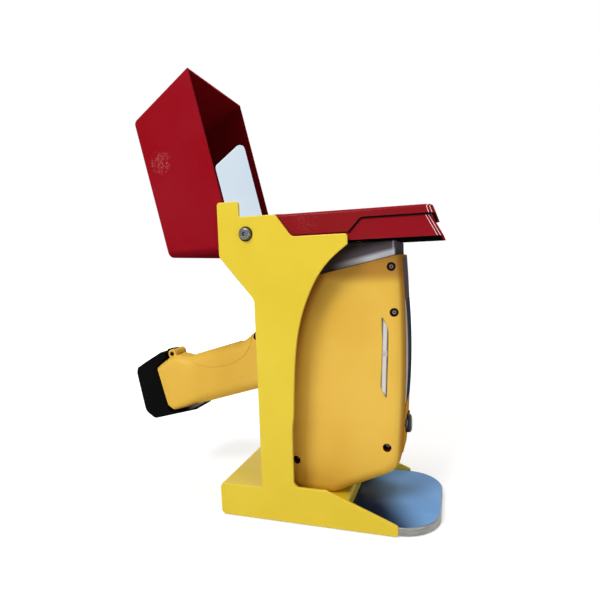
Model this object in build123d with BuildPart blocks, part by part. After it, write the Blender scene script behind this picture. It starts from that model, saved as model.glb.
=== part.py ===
"""Bench test stand with a docked pistol-grip handheld analyser.

Millimetres. +X points to the screen side of the analyser, +Y to the far cheek, +Z up. The origin is on the
table, below the rear edge of the columns and midway between the cheeks. Heights in the outlines are counted
from the underside of the base plate, which the rubber feet hold just above the table.
"""
import math
import os

from build123d import *

os.makedirs("parts", exist_ok=True)

# ---------------------------------------------------------------- fits
running_gap = 0.05  # shaft in a hole, on the radius
slide_gap = 0.3  # between pieces that pass each other
screw_gap = 0.25  # screw in a clearance hole, on the radius

# ---------------------------------------------------------------- stand
foot_proud = 1.0
stand_width = 140.0
cheek_sheet = 3.0
cheek_bevel = 0.5
foot_rear_x = -48.5
foot_front_x = 140.4
foot_rear_height = 34.3
foot_front_height = 38.2
column_height = 232.0
column_front_x = 35.3
shoulder_x = -37.3
shoulder_height = 277.0
tab_height = 332.8
tab_width = 24.3
cheek_top = 317.0
arm_front_x = 98.6
arm_top = 294.3
arm_depth = 10.0

plate_thick = 8.0
plate_front_x = 179.3
plate_corner = 40.0
plate_bevel = 0.8
rear_gap = 0.5
housing_sheet = 2.0
housing_step_x = 12.0
housing_seat = 20.5
housing_front_x = 87.4
bend_radius = 4.0
block_width = 12.0
block_front_x = 78.0
plate_screw_radius = 2.5
plate_screw_head = 5.0
plate_screw_length = 15.0
rubber_foot_radius = 9.0
rubber_foot_sunk = 3.0
rubber_foot_inset = 22.0

# ---------------------------------------------------------------- stage
stage_top = 317.4
stage_rear_x = 24.0
stage_front_x = 180.0
stage_lean = 69.0  # degrees, front of the cover from the horizontal
stage_corner = 8.5
stage_side_gap = 1.8
cover_sheet = 1.5
cover_front_drop = 8.0
cover_rear_drop = 21.4
cover_step_x = 111.0
cover_step_run = 12.5
cover_edge_round = 3.2
shroud_sheet = 2.0
shroud_bottom = 288.2
shroud_front_x = 186.5
shroud_lean = 61.5  # degrees, front of the shroud from the horizontal
well_rear_x = 36.0
well_front_x = 158.0
well_half_width = 50.0
well_corner = 6.0
tongue_half_width = 52.0
tongue_reach = 9.0
floor_thick = 3.0
window_x = 100.0
cup_radius = 16.5
cup_depth = 2.5
aperture_radius = 9.0
aperture_ring_radius = 22.0
aperture_ring_proud = 1.5
rail_height = 5.0

# ---------------------------------------------------------------- lid and its hinge
pivot_x = -6.0
pivot_height = 299.3
open_angle = 103.2  # degrees from closed to open
lid_side_gap = 1.9
lid_sheet = 2.0
lid_edge_round = 0.8
lid_rim = 18.5
lid_depth = 77.5
lid_front = 184.8
lid_front_top = 154.2
lid_rear_top = 0.9
lid_rear = -13.4
ear_radius = 12.0
window_rim_gap = 8.0
window_front_inset = 38.0
window_rear_inset = 34.0
window_top_inset = 22.0
window_thick = 1.2
window_overlap = 4.0
hinge_screw_radius = 4.0
hinge_head_radius = 7.0
hinge_head_height = 4.4
hinge_socket = 5.0
hinge_washer_radius = 8.0
hinge_nut_width = 13.0
hinge_nut_length = 7.0
stop_bar_radius = 3.0
stop_bar_reach = 24.0

# ---------------------------------------------------------------- analyser body
body_half_width = 42.5
shell_wall = 3.0
body_round = 12.0
body_rear_x = 21.0
body_front_x = 147.0
body_front_height = 184.0
body_front_top_x = 144.8
body_top_rear = 246.3
body_top_slope = 0.2172
body_waist_x = 143.1
body_waist_height = 95.0
nose_inset = 2.0
nose_rear_x = 38.0
nose_front_x = 141.0
nose_corner = 6.0
nose_edge_round = 1.5
window_ring = 12.0
film_recess = 0.6
film_thick = 0.2
nose_gap = 1.0
nose_wall = 2.5
deck_half_width = 19.0
deck_proud = 0.5
deck_drop = 3.0
deck_middle = 250.0
deck_corner = 2.0
bezel_half_width = 22.0
bezel_bottom = 117.7
bezel_top = 227.5
bezel_proud = 2.0
bezel_end_proud = 0.8
bezel_corner = 4.0
glass_border = 5.0
glass_corner = 2.5
glass_thick = 1.5
display_depth = 3.2
keypad_bottom = 64.0
keypad_half_width = 22.0
keypad_proud = 0.8
keypad_corner = 6.0
key_travel = 1.0
nav_radius = 10.0
nav_height = 90.5
nav_proud = 5.6
side_key_radius = 4.5
side_key_spread = 15.8
side_key_height = 95.5
side_key_proud = 1.8
key_gap = 0.4
key_dome = 0.6  # share of a key's standing height that its edge round takes
lens_depth = 1.2
lens_proud = 0.3
lens_gap = 0.3
screw_radius = 1.5
screw_head_radius = 2.75
screw_head_height = 3.0
screw_socket = 2.5
screw_socket_depth = 1.6
screw_thread_reach = 12.0
counterbore_radius = 4.3
counterbore_shallow = 5.0
counterbore_deep = 10.0
boss_wall = 2.0

# ---------------------------------------------------------------- inside the analyser
board_y = 14.0
board_thick = 1.6
board_post_radius = 3.5
board_post_places = [(48.0, 170.0), (112.0, 170.0), (48.0, 66.0), (112.0, 66.0)]
sink_x = 80.0
sink_height = 120.0
sink_length = 40.0
sink_tall = 50.0
sink_base = 3.0
sink_fin_pitch = 5.0
sink_fin_thick = 1.6
sink_fin_reach = 9.0
head_bottom = 196.0
head_top = 226.0
head_rear_x = 46.0
head_front_x = 128.0
tube_turn = 24.0  # degrees from the upright, below the window
tube_radius = 10.0
tube_back = 105.0
tube_length = 65.0
detector_turn = -12.0  # degrees from the upright, below the window
detector_radius = 7.0
detector_back = 92.0
detector_length = 56.0
display_board_height = 164.0
display_board_tall = 82.0
display_board_back = 9.0

# ---------------------------------------------------------------- handle
handle_x = -81.3
handle_height = 138.2
handle_tilt = 15.8  # degrees, down to the rear
handle_half_width = 17.5
handle_half_height = 29.3
handle_round = 13.0
handle_end = 71.2
grip_proud = 0.4
latch_width = 6.0
latch_depth = 1.0
trigger_half_width = 5.0
trigger_slot_gap = 0.6
trigger_x = 4.0
trigger_height = 203.0
trigger_pin_radius = 1.5
trigger_boss_radius = 5.6
battery_half_height = 22.0
battery_half_width = 12.5
battery_length = 100.0
cover_pin_x = -138.0
cover_pin_height = 162.6
cover_pin_radius = 1.5
lug_radius = 5.3
sleeve_radius = 4.9
pin_head_radius = 2.6
pin_head_height = 0.6
pin_socket = 2.4
lug_inner = 6.0
lug_outer = 12.0
knuckle_gap = 0.4
cover_half_width = 17.8
cover_wall = 2.5
cover_gap = 0.6
strip_thick = 2.9
strip_turn = 28.4  # degrees from below the cover's hinge
strip_gap = 3.3  # room below the handle, so that the strip passes its lower corner

# ---------------------------------------------------------------- worked out from the above
cheek_out = stand_width / 2
cheek_in = cheek_out - cheek_sheet
lid_half_width = cheek_in - lid_side_gap
stage_half_width = cheek_in - stage_side_gap
shroud_half_width = stage_half_width - cover_sheet
floor_half_width = shroud_half_width - shroud_sheet
ledge = stage_top - cover_front_drop
inner_front_x = body_waist_x - shell_wall
body_bottom = housing_seat + slide_gap
nose_top = shroud_bottom - nose_gap
nose_half_width = body_half_width - nose_inset
inner_half_width = body_half_width - shell_wall


def side_plane(y=0.0):
    """Drawing plane for side outlines at the given y; a positive extrusion runs to the near side."""
    return Plane(origin=(0, y, foot_proud), x_dir=(1, 0, 0), z_dir=(0, -1, 0))


def level_plane(height):
    """Drawing plane for plan outlines at a height above the underside of the base plate."""
    return Plane.XY.offset(foot_proud + height)


def corners(*points):
    """Closed outline through corners given as (x, height, radius), for use in a BuildLine."""
    places = [(x, z) for x, z, radius in points]
    FilletPolyline(places, radius=[radius for x, z, radius in points], close=True)


def body_top(x):
    """Height of the sloping top line of the yellow shell."""
    return body_top_rear + body_top_slope * (x - body_rear_x)


def leaning_front(foot_x, foot_height, lean):
    """Wall that leans back over its foot: gives the x of its face at a height, or of a surface inside it."""
    angle = math.radians(lean)

    def place(height, inset=0.0):
        return foot_x + (foot_height - height) / math.tan(angle) - inset / math.sin(angle)

    return place


# ---------------------------------------------------------------- stand: cheeks, housing, base
with BuildPart() as near_cheek:
    with BuildSketch(side_plane(-cheek_in)):
        with BuildLine():
            FilletPolyline(
                (column_front_x, 54.5),
                (column_front_x, foot_front_height),
                (69.5, foot_front_height),
                (foot_front_x, 10.2),
                (foot_front_x, 0),
                (foot_rear_x, 0),
                (foot_rear_x, foot_rear_height),
                (0, foot_rear_height),
                (0, column_height),
                (shoulder_x, shoulder_height),
                (shoulder_x, tab_height),
                (shoulder_x + tab_width, tab_height),
                (shoulder_x + tab_width, cheek_top),
                (25.7, cheek_top),
                (42.6, arm_top),
                (arm_front_x, arm_top),
                (arm_front_x, arm_top - arm_depth),
                radius=[6, 10, 3, 3, 5, 5, 1, 9, 9, 3, 3, 1.5, 4, 8, 2.5],
            )
            Spline(
                (arm_front_x, arm_top - arm_depth),
                (77.6, 266.8),
                (56.8, 233.2),
                (42.8, 181.1),
                (column_front_x + 2.0, 109.1),
                (column_front_x, 54.5),
                tangents=[(-0.8, -0.6), (0, -1)],
            )
        make_face()
        with Locations((pivot_x, pivot_height)):
            Circle(hinge_screw_radius + running_gap, mode=Mode.SUBTRACT)
    extrude(amount=cheek_sheet)
    chamfer(near_cheek.faces().sort_by(Axis.Y)[0].outer_wire().edges(), cheek_bevel)

with BuildPart() as far_cheek:
    mirror(near_cheek.part, about=Plane.XZ)

with BuildPart() as base_housing:
    with BuildSketch(side_plane()):
        with BuildLine():
            FilletPolyline(
                (foot_rear_x, 0),
                (foot_rear_x, foot_rear_height),
                (housing_step_x, foot_rear_height),
                (housing_step_x, housing_seat),
                (housing_front_x, housing_seat),
                (housing_front_x, plate_thick),
                radius=[bend_radius, bend_radius, bend_radius, bend_radius],
            )
            offset(amount=housing_sheet, side=Side.RIGHT)
        make_face()
    extrude(amount=cheek_in, both=True)

plate_rear_x = foot_rear_x + housing_sheet + rear_gap
foot_places = [
    (x, side * (cheek_in - rubber_foot_inset))
    for x in (plate_rear_x + rubber_foot_inset, plate_front_x - plate_corner)
    for side in (-1, 1)
]
block_rear_x = plate_rear_x + 6.0
block_y = cheek_in - block_width / 2
plate_screw_places = [
    (x, side * block_y)
    for x in (block_rear_x + 10.0, (block_rear_x + block_front_x) / 2, block_front_x - 10.0)
    for side in (-1, 1)
]

with BuildPart() as base_plate:
    with BuildSketch(level_plane(0)):
        with BuildLine():
            FilletPolyline(
                (plate_rear_x, -cheek_in),
                (plate_front_x, -cheek_in),
                (plate_front_x, cheek_in),
                (plate_rear_x, cheek_in),
                radius=[0, plate_corner, plate_corner, 0],
                close=True,
            )
        make_face()
    extrude(amount=plate_thick)
    chamfer(base_plate.faces().sort_by(Axis.Z)[-1].outer_wire().edges().filter_by_position(
        Axis.X, plate_front_x - plate_corner, plate_front_x + 1.0), plate_bevel)
    with Locations(Plane.XY.offset(foot_proud).rotated((180, 0, 0))):
        with Locations([(x, -y) for x, y in foot_places]):
            Hole(rubber_foot_radius + slide_gap, depth=rubber_foot_sunk)
        with Locations([(x, -y) for x, y in plate_screw_places]):
            CounterSinkHole(plate_screw_radius + screw_gap, plate_screw_head + screw_gap)

with BuildPart() as rubber_feet:
    with BuildSketch(Plane.XY):
        with Locations(foot_places):
            Circle(rubber_foot_radius)
    extrude(amount=foot_proud + rubber_foot_sunk)

with BuildPart() as frame_blocks:
    with BuildSketch(level_plane(plate_thick)):
        for side in (-1, 1):
            with Locations(((block_rear_x + block_front_x) / 2, side * block_y)):
                Rectangle(block_front_x - block_rear_x, block_width)
        with Locations(plate_screw_places):
            Circle(plate_screw_radius + running_gap, mode=Mode.SUBTRACT)
    extrude(amount=housing_seat - housing_sheet - plate_thick)

with BuildPart() as plate_screws:
    for place in plate_screw_places:
        with Locations((place[0], place[1], foot_proud)):
            Cylinder(plate_screw_radius, plate_screw_length, align=(Align.CENTER, Align.CENTER, Align.MIN))
            Cone(plate_screw_head, plate_screw_radius, plate_screw_head - plate_screw_radius,
                 align=(Align.CENTER, Align.CENTER, Align.MIN))

with BuildPart() as dock_guides:
    for side in (-1, 1):
        with BuildSketch(level_plane(housing_seat)):
            with Locations((housing_step_x + 14.0, side * (body_half_width + slide_gap + 1.5))):
                RectangleRounded(18.0, 3.0, 1.0)
        extrude(amount=6.0)

# ---------------------------------------------------------------- stage


cover_front = leaning_front(stage_front_x, ledge, stage_lean)
shroud_front = leaning_front(shroud_front_x, shroud_bottom, shroud_lean)


def stage_block(front, half_width, rear_x, bottom, top, inset, corner):
    """Block with a leaning front and rounded upright front corners."""
    with BuildPart() as block:
        with BuildSketch(side_plane()):
            with BuildLine():
                corners(
                    (rear_x, bottom, 0),
                    (rear_x, top, 0),
                    (front(top, inset), top, 0),
                    (front(bottom, inset), bottom, 0),
                )
            make_face()
        extrude(amount=half_width, both=True)
        fillet(block.faces().sort_by(Axis.X)[-1].edges().filter_by(Axis.Y, reverse=True), corner)
    return block.part


cover_bottom = stage_top - cover_rear_drop
cover_underside = stage_top - cover_sheet

with BuildPart() as stage_cover:
    add(stage_block(cover_front, stage_half_width, stage_rear_x, cover_bottom, stage_top, 0, stage_corner))
    fillet(stage_cover.edges().group_by(Axis.Z)[-1].filter_by_position(
        Axis.X, stage_rear_x + 1.0, stage_front_x + 10.0), cover_edge_round)
    add(stage_block(cover_front, shroud_half_width, stage_rear_x - 5.0, cover_bottom - 5.0, cover_underside,
                    cover_sheet, stage_corner - cover_sheet), mode=Mode.SUBTRACT)
    with BuildSketch(side_plane()):
        with BuildLine():
            corners(
                (cover_step_x, ledge, bend_radius * 2),
                (cover_step_x - cover_step_run, cover_bottom, 0),
                (cover_step_x - cover_step_run, cover_bottom - 5.0, 0),
                (stage_front_x + 20.0, cover_bottom - 5.0, 0),
                (stage_front_x + 20.0, ledge, 0),
            )
        make_face()
    extrude(amount=cheek_in, both=True, mode=Mode.SUBTRACT)
    with BuildSketch(level_plane(cover_underside)):
        with Locations(((pivot_x - tongue_reach + stage_rear_x) / 2, 0)):
            Rectangle(stage_rear_x - pivot_x + tongue_reach + 0.02, 2 * tongue_half_width)
    extrude(amount=cover_sheet)
    with BuildSketch(level_plane(cover_underside)):
        with Locations(((well_rear_x + well_front_x) / 2, 0)):
            RectangleRounded(well_front_x - well_rear_x, 2 * well_half_width, well_corner)
    extrude(amount=cover_sheet, mode=Mode.SUBTRACT)

with BuildPart() as stage_shroud:
    add(stage_block(shroud_front, shroud_half_width, stage_rear_x, shroud_bottom, cover_underside, 0,
                    stage_corner - cover_sheet))
    add(stage_block(shroud_front, floor_half_width, stage_rear_x + shroud_sheet, shroud_bottom - 1.0,
                    cover_underside + 1.0, shroud_sheet, stage_corner - cover_sheet - shroud_sheet),
        mode=Mode.SUBTRACT)

floor_front_x = shroud_front(shroud_bottom + floor_thick, shroud_sheet)

with BuildPart() as stage_floor:
    with BuildSketch(level_plane(shroud_bottom)):
        with BuildLine():
            FilletPolyline(
                (stage_rear_x + shroud_sheet, -floor_half_width),
                (floor_front_x, -floor_half_width),
                (floor_front_x, floor_half_width),
                (stage_rear_x + shroud_sheet, floor_half_width),
                radius=[0, stage_corner, stage_corner, 0],
                close=True,
            )
        make_face()
        with Locations((window_x, 0)):
            Circle(aperture_ring_radius, mode=Mode.SUBTRACT)
    extrude(amount=floor_thick)

with BuildPart() as aperture_ring:
    with BuildSketch(level_plane(shroud_bottom)):
        with Locations((window_x, 0)):
            Circle(aperture_ring_radius)
            Circle(aperture_radius, mode=Mode.SUBTRACT)
    extrude(amount=floor_thick)
    with BuildSketch(level_plane(shroud_bottom + floor_thick)):
        with Locations((window_x, 0)):
            Circle(aperture_ring_radius - 1.0)
            Circle(aperture_radius, mode=Mode.SUBTRACT)
    extrude(amount=aperture_ring_proud)
    with BuildSketch(level_plane(shroud_bottom + floor_thick + aperture_ring_proud - cup_depth)):
        with Locations((window_x, 0)):
            Circle(cup_radius)
    extrude(amount=cup_depth, mode=Mode.SUBTRACT)

with BuildPart() as stage_rails:
    for side in (-1, 1):
        rail_y = side * (shroud_half_width + cheek_in) / 2
        with BuildSketch(level_plane(arm_top - 0.5 - rail_height)):
            with Locations(((stage_rear_x + arm_front_x) / 2, rail_y)):
                Rectangle(arm_front_x - stage_rear_x - 14.0, cheek_in - shroud_half_width)
        extrude(amount=rail_height)

# ---------------------------------------------------------------- lid, drawn closed on a plane turned to the open pose


def lid_plane(y=0.0):
    """Side plane at the pivot whose first axis lies along the closed rim, turned with the open lid."""
    turn = math.radians(open_angle)
    return Plane(origin=(pivot_x, y, foot_proud + pivot_height),
                 x_dir=(math.cos(turn), 0, math.sin(turn)), z_dir=(0, -1, 0))


lid_top = lid_rim + lid_depth
front_skew = math.hypot(lid_front - lid_front_top, lid_depth) / lid_depth
rear_skew = math.hypot(lid_rear_top - lid_rear, lid_depth) / lid_depth
front_run = (lid_front - lid_front_top) / lid_depth
rear_run = (lid_rear_top - lid_rear) / lid_depth


def lid_front_at(height, inset):
    """Distance of the lid's front wall from the pivot, along the rim, at a height over the pivot."""
    return lid_front - (height - lid_rim) * front_run - inset * front_skew


def lid_rear_at(height, inset):
    """The same for the lid's rear wall."""
    return lid_rear + (height - lid_rim) * rear_run + inset * rear_skew


def lid_corners(inset, bottom, radius_front, radius_rear):
    """Corners of the lid's side outline, for the outer skin or one lying inside it."""
    top = lid_top - inset
    return (
        (lid_front_at(bottom, inset), bottom, 0),
        (lid_front_at(top, inset), top, radius_front),
        (lid_rear_at(top, inset), top, radius_rear),
        (lid_rear_at(bottom, inset), bottom, 0),
    )


window_corners = (
    (lid_front_at(lid_rim + window_rim_gap, window_front_inset), lid_rim + window_rim_gap, 8.0),
    (lid_front_at(lid_top - window_top_inset, window_front_inset), lid_top - window_top_inset, 6.0),
    (lid_rear_at(lid_top - window_top_inset, window_rear_inset), lid_top - window_top_inset, 6.0),
    (lid_rear_at(lid_rim + window_rim_gap, window_rear_inset), lid_rim + window_rim_gap, 6.0),
)

with BuildPart() as lid_shell:
    with BuildSketch(lid_plane()):
        with BuildLine():
            corners(*lid_corners(0, lid_rim, 6.0, 8.0))
        make_face()
    extrude(amount=lid_half_width, both=True)
    fillet(lid_shell.faces().sort_by(Axis.Y)[0].edges().filter_by_position(
        Axis.Y, -lid_half_width - 1, lid_half_width) + lid_shell.faces().sort_by(Axis.Y)[-1].edges(),
        lid_edge_round)
    with BuildSketch(lid_plane()):
        with BuildLine():
            corners(*lid_corners(lid_sheet, lid_rim - 5.0, 4.0, 6.0))
        make_face()
    extrude(amount=lid_half_width - lid_sheet, both=True, mode=Mode.SUBTRACT)
    for side in (-1, 1):
        with BuildSketch(lid_plane(side * (lid_half_width - lid_sheet))):
            Circle(ear_radius)
            with BuildLine():
                corners(
                    (-ear_radius, 0, 0),
                    (lid_rear_at(lid_rim + 2.0, 1.0), lid_rim + 2.0, 0),
                    (ear_radius + 10.0, lid_rim + 2.0, 0),
                    (ear_radius, 0, 0),
                )
            make_face()
            Circle(hinge_screw_radius + running_gap, mode=Mode.SUBTRACT)
        extrude(amount=-side * lid_sheet)
    with BuildSketch(lid_plane(lid_half_width + 1.0)):
        with BuildLine():
            corners(*window_corners)
        make_face()
    extrude(amount=lid_sheet + 2.0, mode=Mode.SUBTRACT)

with BuildPart() as lid_window:
    with BuildSketch(lid_plane(lid_half_width + window_thick)):
        with BuildLine():
            corners(*window_corners)
        make_face()
        offset(amount=window_overlap)
    extrude(amount=window_thick)
    with BuildSketch(lid_plane(lid_half_width)):
        with BuildLine():
            corners(*window_corners)
        make_face()
        offset(amount=-slide_gap)
    extrude(amount=lid_sheet)

washer_thick = lid_side_gap - slide_gap
nut_outer = lid_half_width - lid_sheet - slide_gap
screw_end = nut_outer - hinge_nut_length - 1.0

with BuildPart() as hinge_screws:
    for side in (-1, 1):
        with BuildSketch(side_plane(side * screw_end)):
            with Locations((pivot_x, pivot_height)):
                Circle(hinge_screw_radius)
        extrude(amount=-side * (cheek_out - screw_end))
        with BuildSketch(side_plane(side * cheek_out)):
            with Locations((pivot_x, pivot_height)):
                Circle(hinge_head_radius)
        extrude(amount=-side * hinge_head_height, taper=18)
    fillet(hinge_screws.edges().filter_by(GeomType.CIRCLE).filter_by_position(
        Axis.Y, cheek_out + 0.5 * hinge_head_height, cheek_out + 2 * hinge_head_height), 1.6)
    fillet(hinge_screws.edges().filter_by(GeomType.CIRCLE).filter_by_position(
        Axis.Y, -cheek_out - 2 * hinge_head_height, -cheek_out - 0.5 * hinge_head_height), 1.6)
    for side in (-1, 1):
        with BuildSketch(side_plane(side * (cheek_out + hinge_head_height))):
            with Locations((pivot_x, pivot_height)):
                RegularPolygon(hinge_socket / 2, 6, major_radius=False)
        extrude(amount=side * (hinge_head_height - 1.5), mode=Mode.SUBTRACT)

with BuildPart() as hinge_washers:
    for side in (-1, 1):
        with BuildSketch(side_plane(side * cheek_in)):
            with Locations((pivot_x, pivot_height)):
                Circle(hinge_washer_radius)
                Circle(hinge_screw_radius + running_gap, mode=Mode.SUBTRACT)
        extrude(amount=side * washer_thick)

with BuildPart() as hinge_nuts:
    for side in (-1, 1):
        with BuildSketch(side_plane(side * nut_outer)):
            with Locations((pivot_x, pivot_height)):
                RegularPolygon(hinge_nut_width / 2, 6, major_radius=False)
                Circle(hinge_screw_radius, mode=Mode.SUBTRACT)
        extrude(amount=side * hinge_nut_length)

# the open lid's rear wall rests on this bar
bar_turn = math.radians(open_angle)
wall_lean = math.atan2(lid_rear_top - lid_rear, lid_depth)
stop_bar_x = pivot_x - stop_bar_reach
wall_start_x = pivot_x + lid_rear * math.cos(bar_turn) - lid_rim * math.sin(bar_turn)
wall_start_height = pivot_height + lid_rear * math.sin(bar_turn) + lid_rim * math.cos(bar_turn)
wall_slope = math.tan(bar_turn - wall_lean - math.pi / 2)
bar_gap = (stop_bar_radius + slide_gap) * math.hypot(1, wall_slope)
stop_bar_height = wall_start_height + (wall_start_x - stop_bar_x) * -wall_slope - bar_gap

with BuildPart() as lid_stop_bar:
    with BuildSketch(side_plane()):
        with Locations((stop_bar_x, stop_bar_height)):
            Circle(stop_bar_radius)
    extrude(amount=cheek_in, both=True)

# ---------------------------------------------------------------- analyser: outer and inner forms of the shell
tilt = math.radians(handle_tilt)
# each station: distance rearwards, reach up, reach down and half width about the handle's axis, corner radius
tail_station = (handle_end - 25.0, handle_half_height + 5.7, handle_half_height, handle_half_width, 9.0)
grip_rear_station = (handle_end - 48.0, handle_half_height, handle_half_height, handle_half_width, handle_round)
grip_front_station = (-38.0, handle_half_height, handle_half_height, handle_half_width, handle_round)
# runs of stations, each with whether straight lines join them
handle_runs = (
    ((
        (handle_end, handle_half_height - 0.6, handle_half_height - 5.8, handle_half_width - 0.3, 5.0),
        (handle_end - 4.7, handle_half_height + 1.5, handle_half_height - 0.4, handle_half_width, 6.0),
        (handle_end - 13.5, handle_half_height + 5.1, handle_half_height, handle_half_width, 7.5),
        tail_station,
    ), True),
    ((
        tail_station,
        (handle_end - 33.0, handle_half_height + 4.7, handle_half_height, handle_half_width, 10.5),
        (handle_end - 40.0, handle_half_height + 1.6, handle_half_height, handle_half_width, 12.0),
        grip_rear_station,
    ), False),
    ((grip_rear_station, grip_front_station), True),
    ((
        grip_front_station,
        (-52.0, handle_half_height, handle_half_height + 0.4, handle_half_width + 0.5, handle_round),
        (-66.0, handle_half_height + 6.0, handle_half_height + 2.0, handle_half_width + 1.5, handle_round),
        (-84.0, handle_half_height + 14.0, handle_half_height + 6.0, handle_half_width + 3.5, handle_round),
        (-112.0, handle_half_height + 18.0, handle_half_height + 12.0, handle_half_width + 6.0, handle_round),
    ), False),
)


def on_handle(back, up):
    """x and height of a point given by its distance back along the handle's axis and its reach over it."""
    return (
        handle_x - back * math.cos(tilt) - up * math.sin(tilt),
        handle_height - back * math.sin(tilt) + up * math.cos(tilt),
    )


def handle_plane(back, up=0.0):
    """Plane square to the handle's axis, its first axis along Y and its second pointing up."""
    x, height = on_handle(back, up)
    return Plane(
        origin=(x, 0, foot_proud + height),
        x_dir=(0, 1, 0),
        z_dir=(math.cos(tilt), 0, math.sin(tilt)),
    )


def body_form(inset):
    """Solid of the analyser's body, or of the hollow that a wall of the given thickness leaves in it."""
    with BuildPart() as form:
        with BuildSketch(side_plane()):
            with BuildLine():
                top_front = (body_front_top_x, body_top(body_front_top_x))
                front = ThreePointArc(
                    top_front, (body_front_x, body_front_height), (body_waist_x, body_waist_height))
                FilletPolyline(
                    front @ 1,
                    front @ 1 + front % 1 * 43.0,
                    (70.0, body_bottom),
                    (body_rear_x, body_bottom),
                    (body_rear_x, body_top_rear),
                    top_front,
                    radius=[26.0, 14.0, 14.0, 0],
                )
            make_face()
            if inset:
                offset(amount=-inset)
        extrude(amount=body_half_width - inset, both=True)
        top_edges = form.faces().sort_by(Axis.Z)[-1].edges()
        rims = [face.edges() for face in form.faces().filter_by(Axis.Y)]
        round_edges = [e for rim in rims for e in rim if e not in top_edges]
        fillet(round_edges, body_round - inset)
    return form.part


def handle_section(station, inset):
    """Rounded cross-section of the handle at one station."""
    back, up, down, half_width, radius = station
    with BuildSketch(handle_plane(back, (up - down) / 2)) as section:
        RectangleRounded(2 * (half_width - inset), up + down - 2 * inset, radius - inset)
    return section.sketch


def handle_form(inset, open_end):
    """Solid of the handle, or of the hollow inside a wall of the given thickness, open at its end."""
    with BuildPart() as form:
        for stations, ruled in handle_runs:
            loft(sections=[handle_section(station, inset) for station in stations], ruled=ruled)
        if open_end:
            extrude(handle_section(handle_runs[0][0][0], inset), amount=-open_end)
    return form.part


# the grip stands a little proud above the upper curve and below the lower one
with BuildPart() as grip_areas:
    with BuildSketch(side_plane()):
        with BuildLine():
            upper = Spline((-28.5, 182.4), (-41.0, 161.5), (-62.0, 151.8), (-86.0, 149.0), (-107.9, 154.2))
            Polyline(upper @ 1, (-112.0, 168.0), (-34.0, 198.0), upper @ 0)
        make_face()
        with BuildLine():
            lower = Spline((-23.4, 135.8), (-40.0, 138.9), (-60.4, 135.8), (-80.0, 126.0), (-95.6, 105.1))
            Polyline(lower @ 1, (-98.0, 94.0), (-18.0, 118.0), lower @ 0)
        make_face()
    extrude(amount=body_half_width, both=True)

with BuildPart() as outer_form:
    add(body_form(0))
    add(handle_form(0, 0))
    add(handle_form(-grip_proud, 0) & grip_areas.part)

with BuildPart() as inner_form:
    add(body_form(shell_wall))
    add(handle_form(shell_wall, 10.0))

with BuildPart() as nose_outer:
    with BuildSketch(side_plane()):
        with BuildLine():
            corners(
                (nose_rear_x, body_top(nose_rear_x), 0),
                (nose_rear_x, nose_top, 0),
                (nose_front_x, nose_top, 0),
                (nose_front_x, body_top(nose_front_x), 0),
            )
        make_face()
    extrude(amount=nose_half_width, both=True)
    fillet(nose_outer.edges().filter_by(Axis.Z), nose_corner)
    fillet(nose_outer.faces().sort_by(Axis.Z)[-1].edges(), nose_edge_round)

with BuildPart() as nose:
    add(nose_outer.part)
    with BuildSketch(side_plane()):
        with BuildLine():
            corners(
                (nose_rear_x + nose_wall, body_top(nose_rear_x) - 5.0, 0),
                (nose_rear_x + nose_wall, nose_top - nose_wall, 0),
                (nose_front_x - nose_wall, nose_top - nose_wall, 0),
                (nose_front_x - nose_wall, body_top(nose_front_x) - 5.0, 0),
            )
        make_face()
    extrude(amount=nose_half_width - nose_wall, both=True, mode=Mode.SUBTRACT)
    with BuildSketch(level_plane(nose_top)):
        with Locations((window_x, 0)):
            Circle(window_ring)
    extrude(amount=-nose_wall, mode=Mode.SUBTRACT)

with BuildPart() as window_frame:
    with BuildSketch(level_plane(nose_top - nose_wall)):
        with Locations((window_x, 0)):
            Circle(window_ring)
            Circle(aperture_radius - 2.0, mode=Mode.SUBTRACT)
    extrude(amount=nose_wall - film_recess)

with BuildPart() as window_film:
    with BuildSketch(level_plane(nose_top - film_recess)):
        with Locations((window_x, 0)):
            Circle(window_ring - 1.0)
    extrude(amount=film_thick)

# fixings through the two shell halves: x, height, near mouth's distance from the middle plane, counterbore
screw_places = (
    (136.0, 261.1, body_half_width, counterbore_shallow),
    (137.9, 215.6, body_half_width, counterbore_shallow),
    (127.8, 77.3, body_half_width, counterbore_deep),
    (30.1, 55.7, body_half_width, counterbore_deep),
    (-22.0, 187.0, handle_half_width, counterbore_shallow),
)
boss_radius = counterbore_radius + boss_wall


def lens_outline():
    """Side outline of a status lens: a long leaf that ends in a point at either end."""
    corners(
        (125.7, 212.0, 0.5),
        (131.9, 199.5, 25.0),
        (130.9, 174.0, 60.0),
        (128.4, 128.4, 0.5),
        (122.9, 138.5, 15.0),
        (124.6, 160.0, 60.0),
        (125.8, 185.0, 60.0),
    )


with BuildPart() as status_lenses:
    for side in (-1, 1):
        with BuildSketch(side_plane(side * (body_half_width - lens_depth))):
            with BuildLine():
                lens_outline()
            make_face()
        extrude(amount=-side * (lens_depth + lens_proud))

with BuildPart() as lens_pockets:
    for side in (-1, 1):
        with BuildSketch(side_plane(side * (body_half_width - lens_depth))):
            with BuildLine():
                lens_outline()
            make_face()
            offset(amount=lens_gap)
        extrude(amount=-side * (lens_depth + lens_proud))

with BuildPart() as bosses:
    for x, z, mouth, counterbore in screw_places:
        with BuildSketch(side_plane()):
            with Locations((x, z)):
                Circle(boss_radius)
        extrude(amount=body_half_width, both=True)

with BuildPart() as front_cutters:
    with BuildSketch(Plane.YZ.offset(body_waist_x - 6.0)):
        with Locations((0, foot_proud + nav_height)):
            Circle(nav_radius + key_gap)
        with Locations(*[(side * side_key_spread, foot_proud + side_key_height) for side in (-1, 1)]):
            Circle(side_key_radius + key_gap)
    extrude(amount=20.0)

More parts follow.
